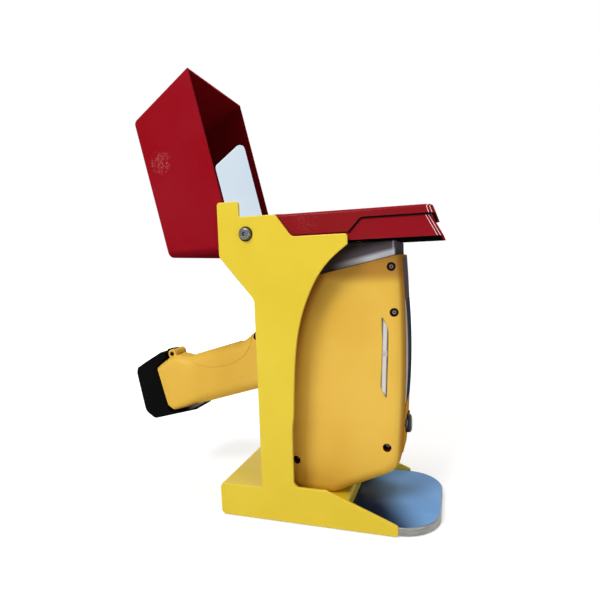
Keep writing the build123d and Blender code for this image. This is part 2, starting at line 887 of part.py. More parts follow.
with BuildPart() as trigger_slot:
    with BuildSketch(side_plane()):
        with BuildLine():
            corners((13.0, 224.0, 0), (-34.0, 206.0, 0), (-25.0, 190.2, 1.0), (13.0, 190.2, 0))
        make_face()
    extrude(amount=trigger_half_width + trigger_slot_gap, both=True)

with BuildPart() as trigger_bosses:
    for side in (-1, 1):
        with BuildSketch(side_plane(side * (trigger_half_width + trigger_slot_gap))):
            with Locations((trigger_x, trigger_height)):
                Circle(trigger_boss_radius)
        extrude(amount=-side * body_half_width)



def front_x(height):
    """x of the shell's front face at a height, along the arc of its side outline."""
    rise = (height - body_waist_height) / (body_top(body_front_top_x) - body_waist_height)
    chord = body_waist_x + (body_front_top_x - body_waist_x) * rise
    return chord + 4 * (body_front_x - (body_waist_x + body_front_top_x) / 2) * rise * (1 - rise)


def pad_block(bottom, top, half_width, proud, end_proud, middle, corner):
    """Block whose curved front stands proud of the shell's front and whose back lies behind it."""
    with BuildPart() as pad:
        with BuildSketch(side_plane()):
            with BuildLine():
                outer = ThreePointArc(
                    (front_x(bottom) + end_proud, bottom),
                    (front_x(middle) + proud, middle),
                    (front_x(top) + end_proud, top),
                )
                Polyline(outer @ 1, (body_waist_x - 8.0, top), (body_waist_x - 8.0, bottom), outer @ 0)
            make_face()
        extrude(amount=half_width, both=True)
        fillet(pad.edges().filter_by(Axis.X), corner)
    return pad.part


bezel_middle = (bezel_bottom + bezel_top) / 2
bezel_block = pad_block(bezel_bottom, bezel_top, bezel_half_width, bezel_proud, bezel_end_proud, bezel_middle,
                        bezel_corner)

with BuildPart() as display_stack:
    with BuildSketch(Plane.YZ.offset(body_waist_x - 20.0)):
        with Locations((0, foot_proud + bezel_middle)):
            RectangleRounded(2 * (bezel_half_width - glass_border),
                             bezel_top - bezel_bottom - 2 * glass_border, glass_corner)
    extrude(amount=40.0)
    add(bezel_block, mode=Mode.INTERSECT)
    add(bezel_block.moved(Location((-display_depth, 0, 0))), mode=Mode.SUBTRACT)

hinge_clear = lug_radius + knuckle_gap
pin_over_axis = (handle_x - cover_pin_x) * math.sin(tilt) + (cover_pin_height - handle_height) * math.cos(tilt)
pin_back = (handle_x - cover_pin_x) * math.cos(tilt) - (cover_pin_height - handle_height) * math.sin(tilt)
pin_reach = trigger_half_width + trigger_slot_gap + 6.0


def shell_half(side):
    """Half of the analyser's shell, from the middle plane outwards, with its screw bosses and hinge lug."""
    with BuildPart() as half:
        add(outer_form.part)
        add(inner_form.part, mode=Mode.SUBTRACT)
        add(bosses.part & outer_form.part)
        add(trigger_bosses.part & outer_form.part)
        with BuildSketch(side_plane(lug_outer)):
            with Locations((cover_pin_x, cover_pin_height)):
                Circle(lug_radius)
            with BuildLine():
                Polyline(
                    on_handle(pin_back + 6.0, pin_over_axis - 5.4),
                    on_handle(pin_back + 4.6, pin_over_axis - 2.6),
                    on_handle(pin_back - 4.6, pin_over_axis - 2.6),
                    on_handle(pin_back - 7.0, pin_over_axis - 5.4),
                    close=True,
                )
            make_face()
        extrude(amount=2 * lug_outer)
        with BuildSketch(side_plane(lug_inner)):
            with Locations((cover_pin_x, cover_pin_height)):
                Circle(hinge_clear + 0.6)
            with Locations((cover_pin_x - 8.0, cover_pin_height + 1.0)):
                Rectangle(16.0, 2 * hinge_clear)
        extrude(amount=2 * lug_inner, mode=Mode.SUBTRACT)
        with BuildSketch(side_plane(lug_outer + 1.0)):
            with Locations((cover_pin_x, cover_pin_height)):
                Circle(cover_pin_radius)
        extrude(amount=2 * lug_outer + 2.0, mode=Mode.SUBTRACT)
        add(front_cutters.part, mode=Mode.SUBTRACT)
        add(trigger_slot.part, mode=Mode.SUBTRACT)
        with BuildSketch(side_plane()):
            with Locations((trigger_x, trigger_height)):
                Circle(trigger_pin_radius)
        extrude(amount=pin_reach, both=True, mode=Mode.SUBTRACT)
        split(bisect_by=Plane.XZ, keep=Keep.BOTTOM if side > 0 else Keep.TOP)
        for x, z, mouth, counterbore in screw_places:
            seat = mouth - counterbore
            with BuildSketch(side_plane(side * seat)):
                with Locations((x, z)):
                    Circle(counterbore_radius)
            extrude(amount=-side * (body_half_width - seat + 1.0), mode=Mode.SUBTRACT)
            with BuildSketch(side_plane(0)):
                with Locations((x, z)):
                    Circle(screw_radius + (running_gap if side > 0 else screw_gap))
            extrude(amount=-side * (seat + 1.0), mode=Mode.SUBTRACT)
        add(lens_pockets.part, mode=Mode.SUBTRACT)
        add(display_stack.part, mode=Mode.SUBTRACT)
        with BuildSketch(side_plane(side * (handle_half_width - latch_depth))):
            with Locations(Location((*on_handle(48.2, -25.6), 0), (0, 0, 49.0))):
                SlotOverall(latch_width, latch_width / 3)
        extrude(amount=-side * 2 * latch_depth, mode=Mode.SUBTRACT)
    return half.part


with BuildPart() as shell_near:
    add(shell_half(-1))

with BuildPart() as shell_far:
    add(shell_half(1))
    for place in board_post_places:
        with BuildSketch(side_plane(inner_half_width)):
            with Locations(place):
                Circle(board_post_radius)
        extrude(amount=inner_half_width - board_y - board_thick)

with BuildPart() as shell_screws:
    for x, z, mouth, counterbore in screw_places:
        seat = mouth - counterbore
        with BuildSketch(side_plane(-seat)):
            with Locations((x, z)):
                Circle(screw_head_radius)
        extrude(amount=screw_head_height)
        with BuildSketch(side_plane(-seat - screw_head_height)):
            with Locations((x, z)):
                RegularPolygon(screw_socket / 2, 6, major_radius=False)
        extrude(amount=-screw_socket_depth, mode=Mode.SUBTRACT)
        with BuildSketch(side_plane(-seat)):
            with Locations((x, z)):
                Circle(screw_radius)
        extrude(amount=-seat - screw_thread_reach)

# ---------------------------------------------------------------- analyser: screen side


with BuildPart() as top_deck:
    add(pad_block(bezel_top + slide_gap, body_top(body_front_top_x) - deck_drop, deck_half_width, deck_proud,
                  deck_proud, deck_middle, deck_corner))
    add(outer_form.part, mode=Mode.SUBTRACT)

with BuildPart() as display_bezel:
    add(bezel_block)
    add(outer_form.part, mode=Mode.SUBTRACT)
    add(display_stack.part, mode=Mode.SUBTRACT)

with BuildPart() as display_glass:
    add(display_stack.part)
    add(bezel_block.moved(Location((-glass_thick, 0, 0))), mode=Mode.SUBTRACT)

with BuildPart() as display_panel:
    add(display_stack.part)
    add(display_glass.part, mode=Mode.SUBTRACT)

with BuildPart() as keypad_panel:
    add(pad_block(keypad_bottom, bezel_bottom - slide_gap, keypad_half_width, keypad_proud, keypad_proud,
                  nav_height, keypad_corner))
    add(outer_form.part, mode=Mode.SUBTRACT)
    add(front_cutters.part, mode=Mode.SUBTRACT)

key_back_x = front_x(nav_height) - 3.0


def key_solid(y, height, radius, proud):
    """Round domed key whose back lies in its pocket behind the keypad panel."""
    with BuildPart() as key:
        face_x = front_x(height) + keypad_proud + proud
        with BuildSketch(Plane.YZ.offset(key_back_x)):
            with Locations((y, foot_proud + height)):
                Circle(radius)
        extrude(amount=face_x - key_back_x)
        fillet(key.faces().sort_by(Axis.X)[-1].edges(), proud * key_dome)
    return key.part


with BuildPart() as nav_key:
    add(key_solid(0, nav_height, nav_radius, nav_proud))

with BuildPart() as power_key:
    add(key_solid(-side_key_spread, side_key_height, side_key_radius, side_key_proud))

with BuildPart() as menu_key:
    add(key_solid(side_key_spread, side_key_height, side_key_radius, side_key_proud))

# ---------------------------------------------------------------- analyser: inside
with BuildPart() as main_board:
    with BuildSketch(side_plane(board_y + board_thick)):
        with BuildLine():
            corners((40.0, 44.0, 2), (40.0, 180.0, 2), (122.0, 180.0, 2), (122.0, 60.0, 2), (100.0, 44.0, 2))
        make_face()
    extrude(amount=board_thick)

with BuildPart() as heat_sink:
    with BuildSketch(side_plane(board_y)):
        with Locations((sink_x, sink_height)):
            Rectangle(sink_length, sink_tall)
    extrude(amount=sink_base)
    with BuildSketch(side_plane(board_y - sink_base)):
        with GridLocations(sink_fin_pitch, 0, round(sink_length / sink_fin_pitch), 1):
            with Locations((sink_x, sink_height)):
                Rectangle(sink_fin_thick, sink_tall)
    extrude(amount=sink_fin_reach)

sight_height = nose_top - 2.0


def sight_plane(turn, distance):
    """Plane square to a line that leaves the window centre downwards, turned about Y."""
    angle = math.radians(turn)
    back_x = window_x - distance * math.sin(angle)
    back_height = sight_height - distance * math.cos(angle)
    return Plane(
        origin=(back_x, 0, foot_proud + back_height),
        x_dir=(0, 1, 0),
        z_dir=(math.sin(angle), 0, math.cos(angle)),
    )


with BuildPart() as xray_tube:
    with BuildSketch(sight_plane(tube_turn, tube_back)):
        Circle(tube_radius)
    extrude(amount=tube_length)

with BuildPart() as detector:
    with BuildSketch(sight_plane(detector_turn, detector_back)):
        Circle(detector_radius)
    extrude(amount=detector_length)

with BuildPart() as measuring_head:
    with BuildSketch(side_plane()):
        with BuildLine():
            corners(
                (head_rear_x, head_bottom, 2),
                (head_rear_x, head_top, 2),
                (head_front_x, head_top, 2),
                (head_front_x, head_bottom, 2),
            )
        make_face()
    extrude(amount=inner_half_width, both=True)
    for turn, radius in ((tube_turn, tube_radius), (detector_turn, detector_radius)):
        with BuildSketch(sight_plane(turn, tube_back + 25.0)):
            Circle(radius + running_gap)
        extrude(amount=tube_back + 15.0, mode=Mode.SUBTRACT)

with BuildPart() as display_board:
    with BuildSketch(Plane.YZ.offset(inner_front_x - display_board_back)):
        with Locations((0, foot_proud + display_board_height)):
            RectangleRounded(2 * inner_half_width, display_board_tall, 2.0)
    extrude(amount=board_thick)

# ---------------------------------------------------------------- trigger
with BuildPart() as trigger:
    with BuildSketch(side_plane()):
        with BuildLine():
            corners(
                (trigger_x + 3.5, trigger_height - 4.0, 2),
                (trigger_x + 4.5, trigger_height + 8.5, 2),
                (trigger_x - 8.0, trigger_height + 9.5, 6),
                (trigger_x - 21.0, trigger_height + 1.0, 8),
                (trigger_x - 26.0, trigger_height - 7.0, 2),
                (trigger_x - 19.0, trigger_height - 8.5, 2),
            )
        make_face()
        with Locations((trigger_x, trigger_height)):
            Circle(trigger_pin_radius + running_gap, mode=Mode.SUBTRACT)
    extrude(amount=trigger_half_width, both=True)

with BuildPart() as trigger_pin:
    with BuildSketch(side_plane()):
        with Locations((trigger_x, trigger_height)):
            Circle(trigger_pin_radius)
    extrude(amount=pin_reach, both=True)

# ---------------------------------------------------------------- battery and its cover
battery_front = handle_end - 3.0 - battery_length
with BuildPart() as battery:
    with BuildSketch(handle_plane(handle_end - 3.0)):
        RectangleRounded(2 * battery_half_width, 2 * battery_half_height, 7.0)
    extrude(amount=battery_length)

with BuildPart() as battery_contacts:
    with BuildSketch(handle_plane(battery_front - slide_gap)):
        RectangleRounded(2 * (handle_half_width - shell_wall), 2 * (handle_half_height - shell_wall),
                         handle_round - shell_wall)
    extrude(amount=5.0)
    add(inner_form.part, mode=Mode.INTERSECT)

# the strip below the handle curves about the cover's hinge, so that it swings past the corner of the handle
strip_radius = pin_over_axis + handle_half_height + strip_gap
knuckle_half_width = lug_inner - knuckle_gap


def under_pin(turn, out):
    """Point below the cover's hinge, turned by an angle towards the trigger, outside the strip's inner face."""
    angle = math.radians(turn)
    return (
        cover_pin_x + (strip_radius + out) * math.sin(angle),
        cover_pin_height - (strip_radius + out) * math.cos(angle),
    )


with BuildPart() as battery_cover:
    with BuildSketch(side_plane()):
        with BuildLine():
            rim_top = on_handle(handle_end - 16.4, handle_half_height + 6.6)
            FilletPolyline(
                rim_top,
                (-147.5, 166.8),
                (-171.0, 153.6),
                (-185.4, 144.8),
                (-186.61, 138.0),
                under_pin(-27.9, 10.6),
                under_pin(-17.5, 13.5),
                under_pin(27.2, strip_thick),
                under_pin(strip_turn, 0),
                radius=[3, 8, 4, 5, 12, 7, 0],
            )
            strip = RadiusArc(under_pin(strip_turn, 0), under_pin(-1.6, 0), strip_radius)
            Polyline(
                strip @ 1,
                on_handle(handle_end + cover_gap, -handle_half_height + 4.4),
                on_handle(handle_end + cover_gap, handle_half_height - 0.2),
                on_handle(handle_end - 13.0, handle_half_height + 6.2),
                rim_top,
            )
        make_face()
    extrude(amount=cover_half_width, both=True)
    with BuildSketch(side_plane()):
        with BuildLine():
            corners(
                (*on_handle(handle_end - 1.0, handle_half_height - 5.3), 0),
                (-168.8, 150.2, 4),
                (-181.2, 141.6, 3),
                (-182.3, 137.5, 3),
                (*under_pin(-27.8, 6.2), 8),
                (*under_pin(-18.2, 8.6), 4),
                (*on_handle(handle_end - 1.0, -handle_half_height + 6.3), 0),
            )
        make_face()
    extrude(amount=cover_half_width - cover_wall, both=True, mode=Mode.SUBTRACT)
    with BuildSketch(side_plane()):
        with BuildLine():
            FilletPolyline(
                (cover_pin_x + 1.0, cover_pin_height),
                (cover_pin_x - 1.0, cover_pin_height + 6.0),
                (-148.5, 167.2),
                (-148.5, 158.6),
                (cover_pin_x - 3.0, cover_pin_height - 4.5),
                radius=[0, 2.5, 0, 0, 0],
                close=True,
            )
        make_face()
        with Locations((cover_pin_x, cover_pin_height)):
            Circle(sleeve_radius, mode=Mode.SUBTRACT)
    extrude(amount=knuckle_half_width, both=True)

with BuildPart() as hinge_sleeve:
    with BuildSketch(side_plane()):
        with Locations((cover_pin_x, cover_pin_height)):
            Circle(sleeve_radius)
            Circle(cover_pin_radius + running_gap, mode=Mode.SUBTRACT)
    extrude(amount=knuckle_half_width, both=True)

with BuildPart() as cover_pin:
    with BuildSketch(side_plane()):
        with Locations((cover_pin_x, cover_pin_height)):
            Circle(cover_pin_radius)
    extrude(amount=lug_outer, both=True)
    for side in (-1, 1):
        with BuildSketch(side_plane(side * lug_outer)):
            with Locations((cover_pin_x, cover_pin_height)):
                Circle(pin_head_radius)
                RegularPolygon(pin_socket / 2, 6, major_radius=False, mode=Mode.SUBTRACT)
        extrude(amount=-side * pin_head_height)

finished = {
    "near_cheek": near_cheek,
    "far_cheek": far_cheek,
    "base_housing": base_housing,
    "base_plate": base_plate,
    "rubber_feet": rubber_feet,
    "frame_blocks": frame_blocks,
    "plate_screws": plate_screws,
    "dock_guides": dock_guides,
    "stage_cover": stage_cover,
    "stage_shroud": stage_shroud,
    "stage_floor": stage_floor,
    "aperture_ring": aperture_ring,
    "stage_rails": stage_rails,
    "lid_shell": lid_shell,
    "lid_window": lid_window,
    "hinge_screws": hinge_screws,
    "hinge_washers": hinge_washers,
    "hinge_nuts": hinge_nuts,
    "lid_stop_bar": lid_stop_bar,
    "nose": nose,
    "window_frame": window_frame,
    "window_film": window_film,
    "shell_near": shell_near,
    "shell_far": shell_far,
    "status_lenses": status_lenses,
    "shell_screws": shell_screws,
    "top_deck": top_deck,
    "display_bezel": display_bezel,
    "display_glass": display_glass,
    "display_panel": display_panel,
    "keypad_panel": keypad_panel,
    "nav_key": nav_key,
    "power_key": power_key,
    "menu_key": menu_key,
    "main_board": main_board,
    "heat_sink": heat_sink,
    "measuring_head": measuring_head,
    "xray_tube": xray_tube,
    "detector": detector,
    "display_board": display_board,
    "trigger": trigger,
    "trigger_pin": trigger_pin,
    "battery": battery,
    "battery_contacts": battery_contacts,
    "battery_cover": battery_cover,
    "hinge_sleeve": hinge_sleeve,
    "cover_pin": cover_pin,
}
for name, piece in finished.items():
    piece.part.label = name
    export_step(piece.part, f"parts/{name}.step")
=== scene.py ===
import math
import bpy
import bmesh
from mathutils import Matrix, Vector


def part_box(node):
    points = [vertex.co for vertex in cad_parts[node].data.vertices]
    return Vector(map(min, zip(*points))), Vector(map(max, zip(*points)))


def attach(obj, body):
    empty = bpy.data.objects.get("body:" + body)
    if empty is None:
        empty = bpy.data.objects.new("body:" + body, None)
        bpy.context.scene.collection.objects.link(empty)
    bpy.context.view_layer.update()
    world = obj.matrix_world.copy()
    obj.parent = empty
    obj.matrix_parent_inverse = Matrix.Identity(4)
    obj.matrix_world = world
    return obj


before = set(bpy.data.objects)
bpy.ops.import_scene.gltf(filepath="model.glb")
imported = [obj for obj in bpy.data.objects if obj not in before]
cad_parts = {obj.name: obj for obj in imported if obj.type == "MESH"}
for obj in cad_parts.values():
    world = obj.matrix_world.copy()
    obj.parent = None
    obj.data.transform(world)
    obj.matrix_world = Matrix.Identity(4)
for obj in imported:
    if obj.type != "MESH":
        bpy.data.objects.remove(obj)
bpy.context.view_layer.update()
MM = 0.001


# ------------------------------------------------------------------ colours and node helpers
def shade(red, green, blue):
    """Linear colour from 8-bit display values."""
    def linear(v):
        v /= 255
        return v / 12.92 if v <= 0.04045 else ((v + 0.055) / 1.055) ** 2.4
    return (linear(red), linear(green), linear(blue), 1.0)


def node(tree, kind, **settings):
    """New node with its settings."""
    made = tree.nodes.new(kind)
    for key, value in settings.items():
        setattr(made, key, value)
    return made


def put(tree, value, socket):
    """Links an output to a socket, or sets a plain value on it."""
    if isinstance(value, bpy.types.NodeSocket):
        tree.links.new(value, socket)
    else:
        socket.default_value = value


def calc(tree, operation, a, b=0.0, c=0.0, clamp=False):
    """One step of arithmetic on values or outputs."""
    made = node(tree, "ShaderNodeMath", operation=operation, use_clamp=clamp)
    for value, socket in zip((a, b, c), made.inputs):
        put(tree, value, socket)
    return made.outputs[0]


def vector_calc(tree, operation, a, b=(0, 0, 0)):
    """One step of vector arithmetic; a length or a product of two comes out as a plain value."""
    made = node(tree, "ShaderNodeVectorMath", operation=operation)
    put(tree, a, made.inputs[0])
    put(tree, b, made.inputs[1])
    return made.outputs["Value" if operation in ("DOT_PRODUCT", "LENGTH", "DISTANCE") else "Vector"]


def ramp(tree, value, start, end, low=0.0, high=1.0):
    """Smooth step of a value between two places."""
    made = node(tree, "ShaderNodeMapRange", interpolation_type="SMOOTHSTEP")
    for key, item in (("Value", value), ("From Min", start), ("From Max", end), ("To Min", low), ("To Max", high)):
        put(tree, item, made.inputs[key])
    return made.outputs["Result"]


def blend_colours(tree, share, first, second):
    """First colour where the share is 0, second where it is 1."""
    made = node(tree, "ShaderNodeMix", data_type="RGBA")
    put(tree, share, made.inputs[0])
    put(tree, first, made.inputs[6])
    put(tree, second, made.inputs[7])
    return made.outputs[2]


def noise(tree, place, scale, detail=2.0, roughness=0.5):
    """Cloudy value about 0.5."""
    made = node(tree, "ShaderNodeTexNoise")
    put(tree, place, made.inputs["Vector"])
    made.inputs["Scale"].default_value = scale
    made.inputs["Detail"].default_value = detail
    made.inputs["Roughness"].default_value = roughness
    return made.outputs["Fac"]


def split(tree, coordinates):
    """X, Y and Z of a point's "Object" place or of the "Normal" that its surface faces."""
    made = node(tree, "ShaderNodeSeparateXYZ")
    put(tree, node(tree, "ShaderNodeTexCoord").outputs[coordinates], made.inputs[0])
    return made.outputs


def from_axis(tree, centre):
    """Distance from a line across the part through an (X, Z) centre."""
    place = split(tree, "Object")
    across = calc(tree, "SUBTRACT", place["X"], centre[0])
    up = calc(tree, "SUBTRACT", place["Z"], centre[1])
    return calc(tree, "SQRT", calc(tree, "ADD", calc(tree, "MULTIPLY", across, across),
                                   calc(tree, "MULTIPLY", up, up)))


def new_group(name, inputs, outputs):
    """Shader node group with named inputs and outputs; returns the tree, its input node and its output node."""
    tree = bpy.data.node_groups.new(name, "ShaderNodeTree")
    for label, kind, default in inputs:
        tree.interface.new_socket(name=label, in_out="INPUT", socket_type=kind).default_value = default
    for label, kind in outputs:
        tree.interface.new_socket(name=label, in_out="OUTPUT", socket_type=kind)
    return tree, node(tree, "NodeGroupInput").outputs, node(tree, "NodeGroupOutput").inputs


def use_group(tree, group, **values):
    """Places a shared effect in a tree with its own values; returns its outputs."""
    made = node(tree, "ShaderNodeGroup", node_tree=group)
    for key, value in values.items():
        put(tree, value, made.inputs[key.replace("_", " ")])
    return made.outputs


# ------------------------------------------------------------------ shared effects
FLOAT, VECTOR = "NodeSocketFloat", "NodeSocketVector"


def edge_group():
    """Softened normal at sharp edges, and a mask of those edges broken up by noise."""
    tree, given, out = new_group("edge_softening", [("Radius", FLOAT, 0.0006), ("Wear", FLOAT, 0.5)],
                                 [("Normal", VECTOR), ("Edge", FLOAT)])
    bevel = node(tree, "ShaderNodeBevel", samples=6)
    put(tree, given["Radius"], bevel.inputs["Radius"])
    plain = node(tree, "ShaderNodeNewGeometry").outputs["Normal"]
    place = node(tree, "ShaderNodeTexCoord").outputs["Object"]
    turned = calc(tree, "SUBTRACT", 1.0, vector_calc(tree, "DOT_PRODUCT", bevel.outputs["Normal"], plain))
    edge = ramp(tree, turned, 0.02, 0.25)
    broken = ramp(tree, noise(tree, place, 260.0, 4.0), 0.35, 0.65)
    share = calc(tree, "SUBTRACT", 1.0, calc(tree, "MULTIPLY", given["Wear"], calc(tree, "SUBTRACT", 1.0, broken)))
    put(tree, bevel.outputs["Normal"], out["Normal"])
    put(tree, calc(tree, "MULTIPLY", edge, share, clamp=True), out["Edge"])
    return tree


def coat_group():
    """Orange peel of a sprayed coat, broad unevenness of its tone, and fine dust specks."""
    tree, given, out = new_group("coat_texture", [("Peel", FLOAT, 1.0)],
                                 [("Height", FLOAT), ("Tone", FLOAT), ("Speck", FLOAT), ("Gloss", FLOAT)])
    place = node(tree, "ShaderNodeTexCoord").outputs["Object"]
    fine = noise(tree, place, 900.0, 2.0)
    coarse = noise(tree, place, 380.0, 1.0)
    height = calc(tree, "ADD", calc(tree, "MULTIPLY", fine, 0.35), calc(tree, "MULTIPLY", coarse, 0.65))
    put(tree, calc(tree, "MULTIPLY", height, given["Peel"]), out["Height"])
    put(tree, ramp(tree, noise(tree, place, 14.0, 3.0), 0.3, 0.7), out["Tone"])
    put(tree, ramp(tree, noise(tree, place, 1500.0, 0.0), 0.74, 0.80), out["Speck"])
    put(tree, ramp(tree, noise(tree, place, 45.0, 3.0), 0.3, 0.7), out["Gloss"])
    return tree


def grain_group():
    """Fine spark-eroded grain of moulded plastic, with slow tone and gloss changes."""
    tree, given, out = new_group("moulded_grain", [("Scale", FLOAT, 1.0)],
                                 [("Height", FLOAT), ("Tone", FLOAT), ("Gloss", FLOAT)])
    place = node(tree, "ShaderNodeTexCoord").outputs["Object"]
    scaled = node(tree, "ShaderNodeVectorMath", operation="SCALE")
    put(tree, place, scaled.inputs[0])
    put(tree, given["Scale"], scaled.inputs["Scale"])
    cells = node(tree, "ShaderNodeTexVoronoi", feature="SMOOTH_F1")
    put(tree, scaled.outputs[0], cells.inputs["Vector"])
    cells.inputs["Scale"].default_value = 1500.0
    fine = noise(tree, scaled.outputs[0], 2200.0, 2.0)
    put(tree, calc(tree, "ADD", calc(tree, "MULTIPLY", cells.outputs["Distance"], 0.6),
                   calc(tree, "MULTIPLY", fine, 0.4)), out["Height"])
    put(tree, ramp(tree, noise(tree, place, 11.0, 3.0), 0.3, 0.7), out["Tone"])
    put(tree, ramp(tree, noise(tree, place, 60.0, 4.0), 0.25, 0.75), out["Gloss"])
    return tree


def brushing_group():
    """Fine parallel lines along one axis, set by stretching the pattern."""
    tree, given, out = new_group("brushed_lines", [("Stretch", VECTOR, (1, 1, 1))],
                                 [("Height", FLOAT), ("Line", FLOAT), ("Stain", FLOAT)])
    place = node(tree, "ShaderNodeTexCoord").outputs["Object"]
    stretched = vector_calc(tree, "MULTIPLY", place, given["Stretch"])
    lines = noise(tree, stretched, 1.0, 5.0, 0.7)
    put(tree, lines, out["Height"])
    put(tree, ramp(tree, lines, 0.3, 0.7), out["Line"])
    put(tree, ramp(tree, noise(tree, place, 30.0, 4.0), 0.35, 0.7), out["Stain"])
    return tree


def ring_scuff_group():
    """Small pale nicks lying in rings about a place on a side wall, densest at the middle."""
    tree, given, out = new_group("ring_scuff", [("Centre", VECTOR, (0, 0, 0)), ("Reach", FLOAT, 0.012)],
                                 [("Mark", FLOAT)])
    place = node(tree, "ShaderNodeTexCoord").outputs["Object"]
    away = vector_calc(tree, "SUBTRACT", place, given["Centre"])
    apart = vector_calc(tree, "LENGTH", away)
    nicks = node(tree, "ShaderNodeTexVoronoi", feature="F1")
    put(tree, place, nicks.inputs["Vector"])
    nicks.inputs["Scale"].default_value = 820.0
    dots = ramp(tree, nicks.outputs["Distance"], 0.36, 0.22)
    rings = ramp(tree, calc(tree, "SINE", calc(tree, "MULTIPLY", apart, 2600.0)), -0.6, 0.2)
    kept = ramp(tree, noise(tree, place, 300.0, 2.0), 0.36, 0.46)
    near = ramp(tree, apart, given["Reach"], calc(tree, "MULTIPLY", given["Reach"], 0.45))
    mark = calc(tree, "MULTIPLY", calc(tree, "MULTIPLY", dots, rings), calc(tree, "MULTIPLY", kept, near))
    put(tree, mark, out["Mark"])
    return tree


def bend_group():
    """Painted highlight lines that run down a rounded upright corner, where lamps glint on it."""
    tree, given, out = new_group("painted_bend_glint", [("First", FLOAT, 0.31), ("Second", FLOAT, 0.60)], [("Line", FLOAT)])
    facing = split(tree, "Normal")
    lines = []
    for where, width in (("First", 0.036), ("Second", 0.040)):
        apart = calc(tree, "ABSOLUTE", calc(tree, "SUBTRACT", facing["X"], given[where]))
        lines.append(ramp(tree, apart, width, width * 0.4))
    side = ramp(tree, calc(tree, "ABSOLUTE", facing["Y"]), 0.3, 0.5)
    place = node(tree, "ShaderNodeTexCoord").outputs["Object"]
    kept = ramp(tree, noise(tree, place, 90.0, 2.0), 0.30, 0.42)
    both = calc(tree, "MAXIMUM", lines[0], lines[1])
    put(tree, calc(tree, "MULTIPLY", calc(tree, "MULTIPLY", both, side), kept), out["Line"])
    return tree


edge_softening = edge_group()
coat_texture = coat_group()
moulded_grain = grain_group()
brushed_lines = brushing_group()
ring_scuff = ring_scuff_group()
painted_bend_glint = bend_group()


# ------------------------------------------------------------------ finishes
def finish_of(name):
    """Empty material with one Principled shader on its output."""
    made = bpy.data.materials.new(name)
    made.use_nodes = True
    tree = made.node_tree
    tree.nodes.clear()
    shader = node(tree, "ShaderNodeBsdfPrincipled")
    tree.links.new(shader.outputs["BSDF"], node(tree, "ShaderNodeOutputMaterial").inputs["Surface"])
    return made, tree, shader.inputs


def plain(sockets, **values):
    """Sets plain values on a shader's own sockets."""
    for name, value in values.items():
        sockets[name.replace("_", " ")].default_value = value


def uneven_roughness(tree, mask, low, high, sockets):
    """Roughness that follows a mask between two values."""
    put(tree, ramp(tree, mask, 0.0, 1.0, low, high), sockets["Roughness"])


def relief(tree, height, depth, normal, sockets, strength=1.0):
    """Bump of a given depth, in metres, on top of a softened normal."""
    bump = node(tree, "ShaderNodeBump")
    bump.inputs["Strength"].default_value = strength
    bump.inputs["Distance"].default_value = depth
    put(tree, height, bump.inputs["Height"])
    if normal is not None:
        put(tree, normal, bump.inputs["Normal"])
    put(tree, bump.outputs["Normal"], sockets["Normal"])


def head_on(tree, strength, sockets):
    """Clear coat that fades towards a grazing view."""
    away = calc(tree, "SUBTRACT", 1.0, node(tree, "ShaderNodeLayerWeight").outputs["Facing"])
    put(tree, calc(tree, "MULTIPLY", calc(tree, "POWER", away, 1.5), strength), sockets["Coat Weight"])


def facing_in(tree, centre):
    """1 on faces that look towards a place inside a hollow piece, 0 on its outer skin."""
    seen = node(tree, "ShaderNodeTexCoord").outputs
    away = vector_calc(tree, "SUBTRACT", seen["Object"], centre)
    return ramp(tree, vector_calc(tree, "DOT_PRODUCT", away, seen["Normal"]), -0.004, -0.008)


FOOT_SLOPE, FOOT_TOP, FOOT_EDGE = 0.0316, 0.2925, 0.2850  # painted shade band along the open lid's lower edge


def powder_coat(name, tone, pale, dark, roughness, gloss, radius=0.0007, scuffs=(), edge_share=0.6, hollow=None,
                inner_shade_tone=None, bend_highlight_tone=None, foot_shade_tone=None, sheen=0.0):
    """Sprayed paint on sheet steel: uneven tone, orange peel, paler rubbed edges, ring scuffs, painted shade inside a
    hollow and along a lower edge, and painted highlight lines down rounded corners.
    """
    made, tree, sockets = finish_of(name)
    coat = use_group(tree, coat_texture)
    edge = use_group(tree, edge_softening, Radius=radius, Wear=0.5)
    colour = blend_colours(tree, coat["Tone"], tone, dark)
    colour = blend_colours(tree, calc(tree, "MULTIPLY", coat["Speck"], 0.06), colour, pale)
    colour = blend_colours(tree, calc(tree, "MULTIPLY", edge["Edge"], edge_share), colour, pale)
    # painted shade along the lower edge
    if foot_shade_tone:
        place = split(tree, "Object")
        over = calc(tree, "SUBTRACT", place["Z"], calc(tree, "MULTIPLY", place["X"], FOOT_SLOPE))
        colour = blend_colours(tree, ramp(tree, over, FOOT_TOP, FOOT_EDGE), colour, foot_shade_tone)
    # painted shade on the faces inside the hollow
    if hollow:
        colour = blend_colours(tree, facing_in(tree, hollow), colour, inner_shade_tone)
    # painted highlight lines down the rounded corners
    if bend_highlight_tone:
        colour = blend_colours(tree, use_group(tree, painted_bend_glint)["Line"], colour, bend_highlight_tone)
    for centre, reach, mark in scuffs:
        found = use_group(tree, ring_scuff, Centre=centre, Reach=reach)
        colour = blend_colours(tree, calc(tree, "MULTIPLY", found["Mark"], 0.9), colour, mark)
    put(tree, colour, sockets["Base Color"])
    uneven_roughness(tree, coat["Gloss"], roughness - 0.04, roughness + 0.06, sockets)
    plain(sockets, Specular_IOR_Level=sheen, Coat_Roughness=roughness)
    head_on(tree, gloss, sockets)
    relief(tree, coat["Height"], 0.000008, edge["Normal"], sockets)
    return made


